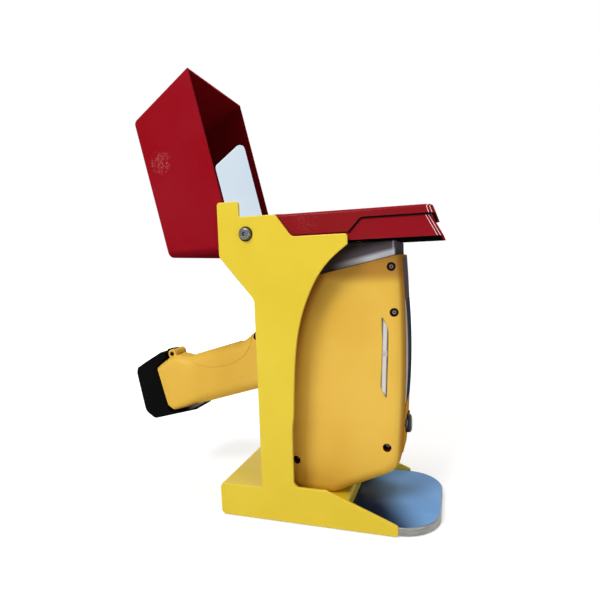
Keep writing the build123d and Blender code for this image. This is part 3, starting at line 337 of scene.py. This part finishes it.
def moulded(name, tone, dark, roughness, gloss, grain, radius=0.0005, pale=None):
    """Moulded plastic or rubber with a fine grain, and paler edges where a pale tone is given."""
    made, tree, sockets = finish_of(name)
    texture = use_group(tree, moulded_grain)
    edge = use_group(tree, edge_softening, Radius=radius, Wear=0.6)
    colour = blend_colours(tree, texture["Tone"], tone, dark)
    if pale:
        colour = blend_colours(tree, calc(tree, "MULTIPLY", edge["Edge"], 0.8), colour, pale)
    put(tree, colour, sockets["Base Color"])
    uneven_roughness(tree, texture["Gloss"], roughness - 0.05, roughness + 0.05, sockets)
    plain(sockets, Specular_IOR_Level=gloss)
    relief(tree, texture["Height"], grain, edge["Normal"], sockets)
    return made


NOSE_SLOPE = 0.2172  # rise of the shell's sloping top edge; the heights below are over the same slope
NOSE_JOINT, NOSE_JOINT_TOP = 0.2430, 0.2438
# heights of the painted bright band and of the painted shade above it
NOSE_BRIGHT_END, NOSE_MIDDLE, NOSE_SHADE_START, NOSE_TOP = 0.2468, 0.2520, 0.2515, 0.2620
# X over which the painted shade to the rear comes in
NOSE_BROWN_START, NOSE_BROWN_END = 0.124, 0.072


def nose_finish():
    """Silver lacquer with painted light and shade: a painted bright band above the shell, painted shade darkening
    over it, brown painted shade to the rear, a painted highlight line down the front corner and grey painted shade in
    front.
    """
    made, tree, sockets = finish_of("nose_lacquer")
    texture = use_group(tree, moulded_grain)
    edge = use_group(tree, edge_softening, Radius=0.0006, Wear=0.3)
    place, ahead = split(tree, "Object"), split(tree, "Normal")["X"]
    over = calc(tree, "SUBTRACT", place["Z"], calc(tree, "MULTIPLY", place["X"], NOSE_SLOPE))
    # painted reflection: a bright band just above the shell, then painted shade darkening up towards the stage
    colour = blend_colours(tree, ramp(tree, over, NOSE_BRIGHT_END, NOSE_MIDDLE), shade(228, 232, 240), shade(102, 94, 100))
    colour = blend_colours(tree, ramp(tree, over, NOSE_SHADE_START, NOSE_TOP), colour, shade(30, 19, 19))
    # painted shade to the rear, under the stage and near the cheeks
    colour = blend_colours(tree, ramp(tree, place["X"], NOSE_BROWN_START, NOSE_BROWN_END), colour, shade(48, 33, 28))
    colour = blend_colours(tree, calc(tree, "MULTIPLY", texture["Tone"], 0.05), colour, shade(150, 150, 156))
    colour = blend_colours(tree, calc(tree, "MULTIPLY", edge["Edge"], 0.5), colour, shade(206, 209, 214))
    # painted highlight line down the front corner
    nose_corner_highlight = calc(tree, "MULTIPLY", ramp(tree, ahead, 0.36, 0.50), ramp(tree, ahead, 0.70, 0.60))
    colour = blend_colours(tree, calc(tree, "MULTIPLY", nose_corner_highlight, 0.4), colour, shade(236, 236, 246))
    # painted shade on the front face
    colour = blend_colours(tree, ramp(tree, ahead, 0.62, 0.88), colour, shade(76, 68, 76))
    colour = blend_colours(tree, ramp(tree, over, NOSE_JOINT_TOP, NOSE_JOINT), colour, shade(52, 36, 28))
    put(tree, colour, sockets["Base Color"])
    uneven_roughness(tree, texture["Gloss"], 0.17, 0.20, sockets)
    plain(sockets, Specular_IOR_Level=0.0, Coat_Roughness=0.16)
    head_on(tree, 0.3, sockets)
    relief(tree, texture["Height"], 0.000002, edge["Normal"], sockets)
    return made


SCREWED_HOLES = ((0.1360, 0.2621), (0.1379, 0.2166))  # screw head near the mouth
DEEP_HOLES = ((0.1278, 0.0783), (0.0301, 0.0567), (-0.022, 0.188))
CHEEK_EDGE = (12.3065, -4.28256, 0.495151, 0.0115136)  # front edge of the cheeks, where the painted shade on the shell starts: X as a cubic of Z
CHEEK_COVER = 0.034  # how far behind that edge the shade fades away
STAGE_SHADE_START, STAGE_SHADE_END = 0.2420, 0.2580


def shell_finish():
    """Yellow moulded shell with painted shade where the cheeks and the stage lie over it, inside its screw holes and
    on its front rounding.
    """
    made, tree, sockets = finish_of("shell_yellow")
    texture = use_group(tree, moulded_grain)
    edge = use_group(tree, edge_softening, Radius=0.0008, Wear=0.6)
    place = split(tree, "Object")
    x, z = place["X"], place["Z"]
    colour = blend_colours(tree, texture["Tone"], shade(229, 186, 78), shade(222, 176, 66))
    colour = blend_colours(tree, calc(tree, "MULTIPLY", edge["Edge"], 0.5), colour, shade(246, 214, 140))
    border = CHEEK_EDGE[0]
    for term in CHEEK_EDGE[1:]:
        border = calc(tree, "MULTIPLY_ADD", border, z, term)
    beside = calc(tree, "SUBTRACT", x, border)
    # painted shade beside the cheeks' front edge: a close dark band and a broader fade, stronger higher up
    close = calc(tree, "MULTIPLY", ramp(tree, beside, 0.011, 0.0), ramp(tree, z, 0.090, 0.220, 0.18, 0.46))
    reach = ramp(tree, z, 0.190, 0.250, 0.020, 0.044)
    broad = calc(tree, "MULTIPLY", ramp(tree, beside, reach, 0.0), ramp(tree, z, 0.090, 0.220, 0.18, 0.38))
    shaded = calc(tree, "MULTIPLY", calc(tree, "ADD", close, broad), ramp(tree, beside, -CHEEK_COVER, -0.001))
    # painted shadow of the stage across the top of the shell
    under = calc(tree, "MULTIPLY", ramp(tree, z, STAGE_SHADE_START, STAGE_SHADE_END), 0.60)
    colour = blend_colours(tree, calc(tree, "MAXIMUM", shaded, under), colour, shade(122, 50, 0))
    # painted shade inside the screw holes
    for centres, hole_shade_tone in ((SCREWED_HOLES, shade(40, 16, 8)), (DEEP_HOLES, shade(92, 38, 14))):
        for centre in centres:
            within = ramp(tree, from_axis(tree, centre), 0.00445, 0.0043)
            colour = blend_colours(tree, within, colour, hole_shade_tone)
    # painted shade on the front rounding
    front = calc(tree, "MULTIPLY", ramp(tree, split(tree, "Normal")["X"], 0.60, 0.98), ramp(tree, x, 0.125, 0.135))
    colour = blend_colours(tree, calc(tree, "MULTIPLY", front, 0.75), colour, shade(150, 92, 22))
    put(tree, colour, sockets["Base Color"])
    uneven_roughness(tree, texture["Gloss"], 0.35, 0.45, sockets)
    plain(sockets, Specular_IOR_Level=0.0, Coat_Roughness=0.35)
    head_on(tree, 0.3, sockets)
    relief(tree, texture["Height"], 0.000008, edge["Normal"], sockets)
    return made


LENS_LEAN, LENS_FOOT, LENS_MIDDLE = 0.0475, 0.11927, 0.1713  # X of the lens's middle line over Z, and its mid height


def lens_finish():
    """Frosted light pipe, clear along its middle and dark where it meets its pocket."""
    made, tree, sockets = finish_of("frosted_lens")
    texture = use_group(tree, moulded_grain)
    place = split(tree, "Object")
    middle = calc(tree, "MULTIPLY_ADD", place["Z"], LENS_LEAN, LENS_FOOT)
    apart = calc(tree, "ABSOLUTE", calc(tree, "SUBTRACT", place["X"], middle))
    rim = ramp(tree, apart, 0.0012, 0.0028)
    tip = ramp(tree, calc(tree, "ABSOLUTE", calc(tree, "SUBTRACT", place["Z"], LENS_MIDDLE)), 0.033, 0.041)
    dark = calc(tree, "MULTIPLY", calc(tree, "MAXIMUM", rim, tip), 0.9)
    colour = blend_colours(tree, texture["Tone"], shade(212, 207, 200), shade(194, 188, 180))
    put(tree, blend_colours(tree, dark, colour, shade(66, 48, 36)), sockets["Base Color"])
    uneven_roughness(tree, texture["Gloss"], 0.25, 0.35, sockets)
    plain(sockets, Specular_IOR_Level=0.3)
    relief(tree, texture["Height"], 0.000004, None, sockets)
    return made


def bezel_finish():
    """Silver rim round a dark printed face."""
    made, tree, sockets = finish_of("bezel_lacquer")
    texture = use_group(tree, moulded_grain)
    edge = use_group(tree, edge_softening, Radius=0.0004, Wear=0.3)
    colour = blend_colours(tree, texture["Tone"], shade(206, 209, 214), shade(196, 199, 205))
    colour = blend_colours(tree, ramp(tree, split(tree, "Normal")["X"], 0.80, 0.92), colour, shade(58, 60, 68))
    put(tree, colour, sockets["Base Color"])
    uneven_roughness(tree, texture["Gloss"], 0.30, 0.40, sockets)
    plain(sockets, Specular_IOR_Level=0.0, Coat_Roughness=0.25)
    head_on(tree, 0.5, sockets)
    relief(tree, texture["Height"], 0.000003, edge["Normal"], sockets)
    return made


def screen_finish():
    """Dark cover glass of the display, clear when seen head-on."""
    made, tree, sockets = finish_of("cover_glass")
    texture = use_group(tree, moulded_grain)
    put(tree, blend_colours(tree, texture["Tone"], shade(26, 34, 52), shade(20, 27, 44)), sockets["Base Color"])
    uneven_roughness(tree, texture["Gloss"], 0.10, 0.16, sockets)
    plain(sockets, Specular_IOR_Level=0.0, Coat_Roughness=0.05)
    head_on(tree, 1.0, sockets)
    return made


def worked_metal(name, tone, dark, roughness, stretch=(900.0, 900.0, 900.0), edge_tone=None, drive_holes=()):
    """Turned, ground or brushed metal with stains, bright edges and a painted highlight ring round each screw's drive
    hole.
    """
    made, tree, sockets = finish_of(name)
    lines = use_group(tree, brushed_lines, Stretch=stretch)
    edge = use_group(tree, edge_softening, Radius=0.0004, Wear=0.3)
    colour = blend_colours(tree, lines["Line"], tone, dark)
    colour = blend_colours(tree, calc(tree, "MULTIPLY", lines["Stain"], 0.25), colour, dark)
    if edge_tone:
        colour = blend_colours(tree, calc(tree, "MULTIPLY", edge["Edge"], 0.7), colour, edge_tone)
    # painted highlight ring inside each screw's drive hole
    for centre in drive_holes:
        apart = from_axis(tree, centre)
        drive_glint = calc(tree, "MULTIPLY", ramp(tree, apart, 0.0007, 0.0010), ramp(tree, apart, 0.0021, 0.0017))
        colour = blend_colours(tree, calc(tree, "MULTIPLY", drive_glint, 0.6), colour, shade(150, 134, 126))
    put(tree, colour, sockets["Base Color"])
    uneven_roughness(tree, lines["Stain"], roughness - 0.05, roughness + 0.08, sockets)
    plain(sockets, Metallic=1.0)
    relief(tree, lines["Height"], 0.000006, edge["Normal"], sockets)
    return made


def pane_glass():
    """Pale blue shielding glass with a faintly uneven tint and smudged roughness."""
    made, tree, sockets = finish_of("pane_glass")
    texture = use_group(tree, moulded_grain, Scale=0.2)
    put(tree, blend_colours(tree, texture["Tone"], shade(222, 236, 247), shade(214, 229, 243)), sockets["Base Color"])
    put(tree, ramp(tree, texture["Gloss"], 0.2, 0.9, 0.02, 0.07), sockets["Roughness"])
    plain(sockets, Transmission_Weight=1.0, Metallic=0.0, IOR=1.5)
    return made


def protective_film():
    """Blue film on the ground plate: glossy, faintly wrinkled, streaked, with painted shade and dark reflection under
    the analyser.
    """
    made, tree, sockets = finish_of("protective_film")
    lines = use_group(tree, brushed_lines, Stretch=(40.0, 420.0, 40.0))
    place = node(tree, "ShaderNodeTexCoord").outputs["Object"]
    broad = ramp(tree, noise(tree, place, 18.0, 2.0), 0.3, 0.7)
    colour = blend_colours(tree, broad, shade(122, 170, 224), shade(112, 160, 214))
    colour = blend_colours(tree, calc(tree, "MULTIPLY", lines["Line"], 0.10), colour, shade(90, 128, 172))
    # painted shade and dark reflection under the analyser, reaching further forward along the near side
    along = split(tree, "Object")
    forward = calc(tree, "ADD", along["X"], calc(tree, "MULTIPLY", along["Y"], 0.50))
    colour = blend_colours(tree, ramp(tree, forward, 0.146, 0.098), colour, shade(14, 28, 50))
    put(tree, colour, sockets["Base Color"])
    uneven_roughness(tree, lines["Stain"], 0.16, 0.26, sockets)
    plain(sockets, Specular_IOR_Level=0.06)
    relief(tree, broad, 0.00006, None, sockets, 0.4)
    return made


yellow_coat = powder_coat("yellow_coat", shade(223, 196, 46), shade(252, 238, 150), shade(218, 190, 40), 0.36, 0.0,
                          radius=0.0011, edge_share=0.85, sheen=0.35)
red_coat = powder_coat("red_coat", shade(137, 24, 31), shade(200, 84, 96), shade(140, 19, 30), 0.34, 0.08,
                       bend_highlight_tone=shade(252, 232, 234))
lid_middle = Vector((-0.086, 0.0, 0.365))
lid_scuff = (Vector((-0.1045, -0.0655, 0.3825)), 0.015, shade(236, 172, 174))
# the lid gets painted shade inside and along its lower edge
lid_coat = powder_coat("lid_coat", shade(144, 22, 34), shade(222, 136, 148), shade(141, 15, 26), 0.34, 0.0,
                       scuffs=[lid_scuff], hollow=lid_middle, inner_shade_tone=shade(104, 8, 14),
                       foot_shade_tone=shade(104, 10, 20))
stage_scuff = (Vector((0.058, -0.0665, 0.311)), 0.018, shade(168, 78, 84))
stage_coat = powder_coat("stage_coat", shade(135, 26, 30), shade(196, 96, 104), shade(134, 20, 27), 0.16, 0.10,
                         edge_share=0.35, scuffs=[stage_scuff], bend_highlight_tone=shade(252, 232, 234))
black_coat = powder_coat("black_coat", shade(14, 12, 12), shade(40, 38, 38), shade(9, 8, 8), 0.55, 0.0)
plate_metal = worked_metal("plate_metal", shade(160, 160, 158), shade(112, 112, 110), 0.36, (60.0, 60.0, 1400.0),
                           edge_tone=shade(225, 226, 224))
zinc_metal = worked_metal("zinc_metal", shade(190, 192, 194), shade(150, 152, 156), 0.30)
screw_metal = worked_metal("screw_metal", shade(128, 130, 132), shade(84, 86, 88), 0.28,
                           edge_tone=shade(200, 202, 202))
black_oxide = worked_metal("black_oxide", shade(30, 22, 20), shade(16, 12, 10), 0.30, edge_tone=shade(96, 80, 72),
                           drive_holes=SCREWED_HOLES + DEEP_HOLES)
machined_aluminium = worked_metal("machined_aluminium", shade(205, 207, 210), shade(170, 172, 176), 0.30)
black_rubber = moulded("black_rubber", shade(34, 33, 33), shade(24, 23, 23), 0.62, 0.25, 0.00002)
shell_yellow = shell_finish()
keypad_yellow = moulded("keypad_yellow", shade(196, 140, 48), shade(186, 130, 42), 0.55, 0.0, 0.000006, 0.0004)
boot_black = moulded("boot_black", shade(11, 10, 10), shade(7, 6, 6), 0.42, 0.02, 0.000012, 0.0008)
deck_grey = moulded("deck_grey", shade(96, 94, 104), shade(84, 82, 92), 0.45, 0.0, 0.000003, 0.0004)
bezel_lacquer = bezel_finish()
nose_lacquer = nose_finish()
satin_black = moulded("satin_black", shade(30, 29, 30), shade(20, 19, 20), 0.40, 0.25, 0.000008, 0.0004)
frosted_lens = lens_finish()
lens_joint = moulded("lens_joint", shade(190, 180, 170), shade(176, 166, 156), 0.35, 0.3, 0.000004,
                     pale=shade(240, 238, 234))
key_print = moulded("key_print", shade(206, 208, 210), shade(190, 192, 195), 0.5, 0.3, 0.000002, 0.0001)
cover_glass = screen_finish()
polymer_film = moulded("polymer_film", shade(214, 150, 52), shade(200, 132, 40), 0.18, 0.5, 0.000002, 0.0003)
solder_mask = moulded("solder_mask", shade(24, 96, 60), shade(18, 82, 50), 0.35, 0.5, 0.000005, 0.0003)
lead_glass = pane_glass()
blue_film = protective_film()

# ------------------------------------------------------------------ which node wears which finish
NODE_FINISH = {
    yellow_coat: ("near_cheek", "far_cheek", "base_housing", "frame_blocks", "stage_rails", "lid_stop_bar"),
    lid_coat: ("lid_shell",),
    stage_coat: ("stage_cover",),
    red_coat: ("stage_shroud",),
    black_coat: ("stage_floor", "window_frame"),
    plate_metal: ("base_plate",),
    zinc_metal: ("aperture_ring", "plate_screws", "trigger_pin"),
    screw_metal: ("hinge_screws", "hinge_nuts", "xray_tube", "detector"),
    black_oxide: ("shell_screws", "cover_pin"),
    machined_aluminium: ("heat_sink", "measuring_head"),
    black_rubber: ("rubber_feet", "dock_guides", "hinge_washers"),
    shell_yellow: ("shell_near", "shell_far", "hinge_sleeve"),
    boot_black: ("battery_cover",),
    nose_lacquer: ("nose",),
    deck_grey: ("top_deck",),
    bezel_lacquer: ("display_bezel",),
    keypad_yellow: ("keypad_panel",),
    satin_black: ("display_panel", "battery", "battery_contacts", "nav_key", "power_key", "menu_key", "trigger"),
    frosted_lens: ("status_lenses",),
    cover_glass: ("display_glass",),
    polymer_film: ("window_film",),
    solder_mask: ("main_board", "display_board"),
    lead_glass: ("lid_window",),
}
for finish, members in NODE_FINISH.items():
    for member in members:
        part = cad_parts[member]
        if not part.material_slots:
            part.data.materials.append(finish)
        for held in part.material_slots:
            held.material = finish
        part.data.polygons.foreach_set("material_index", [0] * len(part.data.polygons))


# ------------------------------------------------------------------ pieces
SMOOTH_BELOW = 35.0  # degrees; sharper edges than this stay sharp


def make_piece(name, bm, body, finish, smooth=SMOOTH_BELOW):
    """Turns a bmesh into a piece that rides on a body, with its finish."""
    bmesh.ops.remove_doubles(bm, verts=bm.verts, dist=1e-7)
    bmesh.ops.recalc_face_normals(bm, faces=bm.faces)
    mesh = bpy.data.meshes.new(name)
    bm.to_mesh(mesh)
    bm.free()
    mesh.materials.append(finish)
    mesh.polygons.foreach_set("use_smooth", [True] * len(mesh.polygons))
    mesh.set_sharp_from_angle(angle=math.radians(smooth))
    piece = bpy.data.objects.new(name, mesh)
    bpy.context.scene.collection.objects.link(piece)
    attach(piece, body)
    return piece


def plate_film():
    """Film on the plate's open top, set back from the ground edge, with the plate's round front corners."""
    low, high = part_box("base_plate")
    rear, set_back, plate_corner = 88.2 * MM, 1.2 * MM, 40 * MM
    thick, lift = 0.12 * MM, 0.02 * MM
    width, length = (high.y - low.y) - 2 * set_back, high.x - set_back - rear
    bm = bmesh.new()
    bmesh.ops.create_grid(bm, x_segments=1, y_segments=1, size=0.5)
    bmesh.ops.scale(bm, vec=(length, width, 1), verts=bm.verts)
    bmesh.ops.translate(bm, vec=(rear + length / 2, 0, high.z + lift), verts=bm.verts)
    front = [v for v in bm.verts if v.co.x > rear + length / 2]
    bmesh.ops.bevel(bm, geom=front, offset=plate_corner - set_back, affect="VERTICES", segments=14, profile=0.5,
                    material=-1)
    grown = bmesh.ops.extrude_face_region(bm, geom=bm.faces[:])["geom"]
    bmesh.ops.translate(bm, vec=(0, 0, thick), verts=[g for g in grown if isinstance(g, bmesh.types.BMVert)])
    return make_piece("plate_film", bm, "stand", blue_film)


def hinge_shade_rings():
    """Thin dark ring standing in for the shadow round the head of each hinge screw, lying on the outer face of its
    cheek.
    """
    low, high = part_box("hinge_screws")
    middle = (low + high) / 2
    outer_face = -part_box("near_cheek")[0].y
    ring_radius, thread, proud = 7.2 * MM, 0.45 * MM, 0.2 * MM
    bm = bmesh.new()
    for side in (-1, 1):
        start = Matrix.Translation((ring_radius, 0, 0)) @ Matrix.Rotation(math.pi / 2, 4, "X")
        made = bmesh.ops.create_circle(bm, segments=12, radius=thread, matrix=start)["verts"]
        rim = list({edge for vertex in made for edge in vertex.link_edges})
        bmesh.ops.spin(bm, geom=made + rim, cent=(0, 0, 0), axis=(0, 0, 1), angle=2 * math.pi, steps=48,
                       use_merge=True, use_duplicate=False)
        ring = [v for v in bm.verts if v.co.length < 12 * MM]
        bmesh.ops.rotate(bm, cent=(0, 0, 0), matrix=Matrix.Rotation(math.pi / 2, 3, "X"), verts=ring)
        bmesh.ops.translate(bm, vec=(middle.x, side * (outer_face + proud), middle.z), verts=ring)
    return make_piece("hinge_shade_rings", bm, "stand", black_rubber, 60.0)


def add_block(bm, place, size):
    """Block of a given size about a place."""
    bmesh.ops.create_cube(bm, size=1.0, matrix=place @ Matrix.Diagonal((*size, 1)))


def ledge_shade_strip():
    """Dark strip under the overhanging edge of the stage cover that deepens the shadow there, along both sides, round
    the corners and the front.
    """
    low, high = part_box("stage_cover")
    cover_wall, overlap = 1.5 * MM, 1.0 * MM
    wall = high.y - cover_wall
    ledge, front = 310.4 * MM, 175.0 * MM
    thick, tall, corner = 1.0 * MM, 1.7 * MM, 7.0 * MM
    step, run, drop = 111.0 * MM, 12.5 * MM, ledge - low.z
    slant = math.hypot(run, drop)
    bm = bmesh.new()
    for side in (-1, 1):
        y = side * (wall + thick / 2)
        length = front - corner - step + overlap
        level = Matrix.Translation((step - overlap + length / 2, y, ledge - tall / 2))
        add_block(bm, level, (length, thick, tall))
        turn = Matrix.Rotation(-math.atan2(drop, run), 4, "Y")
        sloping = (Matrix.Translation((step - run / 2, y, ledge - drop / 2)) @ turn
                   @ Matrix.Translation((0, 0, -tall / 2)))
        add_block(bm, sloping, (slant, thick, tall))
        bend = Matrix.Translation((front - corner, side * (wall - corner), ledge - tall / 2))
        bmesh.ops.create_cone(bm, cap_ends=True, segments=40, radius1=corner + thick, radius2=corner + thick,
                              depth=tall, matrix=bend)
    add_block(bm, Matrix.Translation((front + thick / 2, 0, ledge - tall / 2)), (thick, 2 * (wall - corner), tall))
    return make_piece("ledge_shade_strip", bm, "stand", boot_black)


def lens_joints():
    """Clouded band across the middle of each status lens, where its two light pipes meet."""
    outer_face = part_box("status_lenses")[1].y
    sunk = 0.02 * MM
    bm = bmesh.new()
    for side in (-1, 1):
        place = Matrix.Translation((128.0 * MM, side * (outer_face - sunk), 175.2 * MM))
        add_block(bm, place, (5.0 * MM, 0.24 * MM, 5.6 * MM))
    return make_piece("lens_joints", bm, "analyser", lens_joint)


PRINT_THICK = 0.16 * MM


def key_bar(bm, face, up, width, height, turn=0.0):
    """Flat printed bar on a key's face, placed up from the key's middle and turned about it."""
    place = Matrix.Translation(face) @ Matrix.Rotation(turn, 4, "X") @ Matrix.Translation((0, 0, up))
    add_block(bm, place, (PRINT_THICK, width, height))


def key_face(name):
    """Middle of a key's front face."""
    low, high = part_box(name)
    return Vector((high.x, (low.y + high.y) / 2, (low.z + high.z) / 2))


def nav_arrows():
    """Four arrowheads and a ring on the round key."""
    face = key_face("nav_key")
    bm = bmesh.new()
    for step in range(4):
        place = (Matrix.Translation(face) @ Matrix.Rotation(step * math.pi / 2, 4, "X")
                 @ Matrix.Translation((0, 0, 5.0 * MM)) @ Matrix.Rotation(-math.pi / 2, 4, "Y"))
        bmesh.ops.create_cone(bm, cap_ends=True, segments=3, radius1=1.3 * MM, radius2=1.3 * MM,
                              depth=PRINT_THICK, matrix=place)
    for step in range(16):
        key_bar(bm, face, 2.2 * MM, 0.92 * MM, 0.3 * MM, step * math.pi / 8)
    return make_piece("nav_arrows", bm, "nav_key", key_print)


def power_mark():
    """Broken ring with a bar through its gap."""
    face = key_face("power_key")
    bm = bmesh.new()
    for step in range(2, 15):
        key_bar(bm, face, 1.8 * MM, 0.76 * MM, 0.34 * MM, step * math.pi / 8)
    key_bar(bm, face, 1.5 * MM, 0.36 * MM, 1.8 * MM)
    return make_piece("power_mark", bm, "power_key", key_print)


def menu_mark():
    """Three level bars."""
    face = key_face("menu_key")
    bm = bmesh.new()
    for step in (-1, 0, 1):
        key_bar(bm, face, step * 1.2 * MM, 3.4 * MM, 0.4 * MM)
    return make_piece("menu_mark", bm, "menu_key", key_print)


plate_film()
hinge_shade_rings()
ledge_shade_strip()
lens_joints()
nav_arrows()
power_mark()
menu_mark()


# ------------------------------------------------------------------ camera, lamps and floor
WHITE = (1, 1, 1, 1)
EYE = (0.1956, -0.5191, 0.2656)
YAW, PITCH, ROLL = 18.02, 4.03, 2.10  # degrees
LENS, SENSOR = 28.69, 36.0  # millimetres


def look():
    """Camera at the near side of the stand, level with the top of the analyser."""
    yaw, pitch, roll = math.radians(YAW), math.radians(PITCH), math.radians(ROLL)
    ahead = Vector((-math.sin(yaw) * math.cos(pitch), math.cos(yaw) * math.cos(pitch), -math.sin(pitch)))
    level = Vector((math.cos(yaw), math.sin(yaw), 0))
    down = ahead.cross(level)
    if down.z > 0:
        down = -down
    right = math.cos(roll) * level + math.sin(roll) * down
    below = -math.sin(roll) * level + math.cos(roll) * down
    turn = Matrix((right, -below, -ahead)).transposed().to_4x4()
    camera = bpy.data.objects.new("camera", bpy.data.cameras.new("camera"))
    camera.matrix_world = Matrix.Translation(EYE) @ turn
    camera.data.sensor_width = SENSOR
    camera.data.lens = LENS
    camera.data.clip_start = 0.01
    bpy.context.scene.collection.objects.link(camera)
    bpy.context.scene.camera = camera


def lamp(name, place, target, size, power):
    """Oblong white lamp that faces a target."""
    made = bpy.data.lights.new(name, "AREA")
    made.shape = "RECTANGLE"
    made.size, made.size_y = size
    made.energy = power
    held = bpy.data.objects.new(name, made)
    held.location = place
    held.rotation_mode = "QUATERNION"
    held.rotation_quaternion = (Vector(target) - Vector(place)).to_track_quat("-Z", "Y")
    bpy.context.scene.collection.objects.link(held)


def background_seen(tree):
    """1 for rays that see the background directly, in glass or in a reflection."""
    path = node(tree, "ShaderNodeLightPath").outputs
    seen = calc(tree, "MAXIMUM", path["Is Camera Ray"], path["Is Glossy Ray"])
    return calc(tree, "MAXIMUM", seen, path["Is Transmission Ray"])


def room():
    """Soft even light on the object, and plain white where the room itself is seen."""
    world = bpy.data.worlds.new("room")
    bpy.context.scene.world = world
    world.use_nodes = True
    tree = world.node_tree
    tree.nodes.clear()
    light = node(tree, "ShaderNodeBackground")
    plain(light.inputs, Color=WHITE, Strength=0.30)
    white = node(tree, "ShaderNodeBackground")
    plain(white.inputs, Color=WHITE, Strength=1.0)
    mix = node(tree, "ShaderNodeMixShader")
    put(tree, background_seen(tree), mix.inputs[0])
    tree.links.new(light.outputs[0], mix.inputs[1])
    tree.links.new(white.outputs[0], mix.inputs[2])
    tree.links.new(mix.outputs[0], node(tree, "ShaderNodeOutputWorld").inputs["Surface"])


def floor():
    """Pale paper floor that fades into the white room away from the stand, and keeps the stand's shadow."""
    bm = bmesh.new()
    bmesh.ops.create_grid(bm, x_segments=1, y_segments=1, size=6.0)
    mesh = bpy.data.meshes.new("floor")
    bm.to_mesh(mesh)
    bm.free()
    ground = bpy.data.objects.new("floor", mesh)
    bpy.context.scene.collection.objects.link(ground)
    made = bpy.data.materials.new("floor_paper")
    made.use_nodes = True
    tree = made.node_tree
    tree.nodes.clear()
    diffuse = node(tree, "ShaderNodeBsdfDiffuse")
    plain(diffuse.inputs, Color=(0.80, 0.80, 0.80, 1))
    glow = node(tree, "ShaderNodeEmission")
    plain(glow.inputs, Color=WHITE)
    spread = vector_calc(tree, "LENGTH", node(tree, "ShaderNodeTexCoord").outputs["Object"])
    put(tree, calc(tree, "MULTIPLY", background_seen(tree), ramp(tree, spread, 0.25, 1.3, 0.38, 1.0)),
        glow.inputs["Strength"])
    both = node(tree, "ShaderNodeAddShader")
    tree.links.new(diffuse.outputs[0], both.inputs[0])
    tree.links.new(glow.outputs[0], both.inputs[1])
    tree.links.new(both.outputs[0], node(tree, "ShaderNodeOutputMaterial").inputs["Surface"])
    mesh.materials.append(made)


look()
room()
floor()
lamp("key", (-0.50, -1.4, 1.55), (0.0, 0.0, 0.25), (0.7, 0.7), 24.5)
lamp("strip_front", (1.30, -0.98, 0.45), (0.12, 0.0, 0.25), (0.05, 1.3), 2.4)
lamp("strip_rear", (1.42, -0.78, 0.45), (0.12, 0.0, 0.25), (0.05, 1.3), 2.4)
lamp("top", (0.0, 0.1, 1.7), (0.0, 0.0, 0.2), (1.2, 1.2), 15.0)
bpy.context.scene.view_settings.view_transform = "Standard"
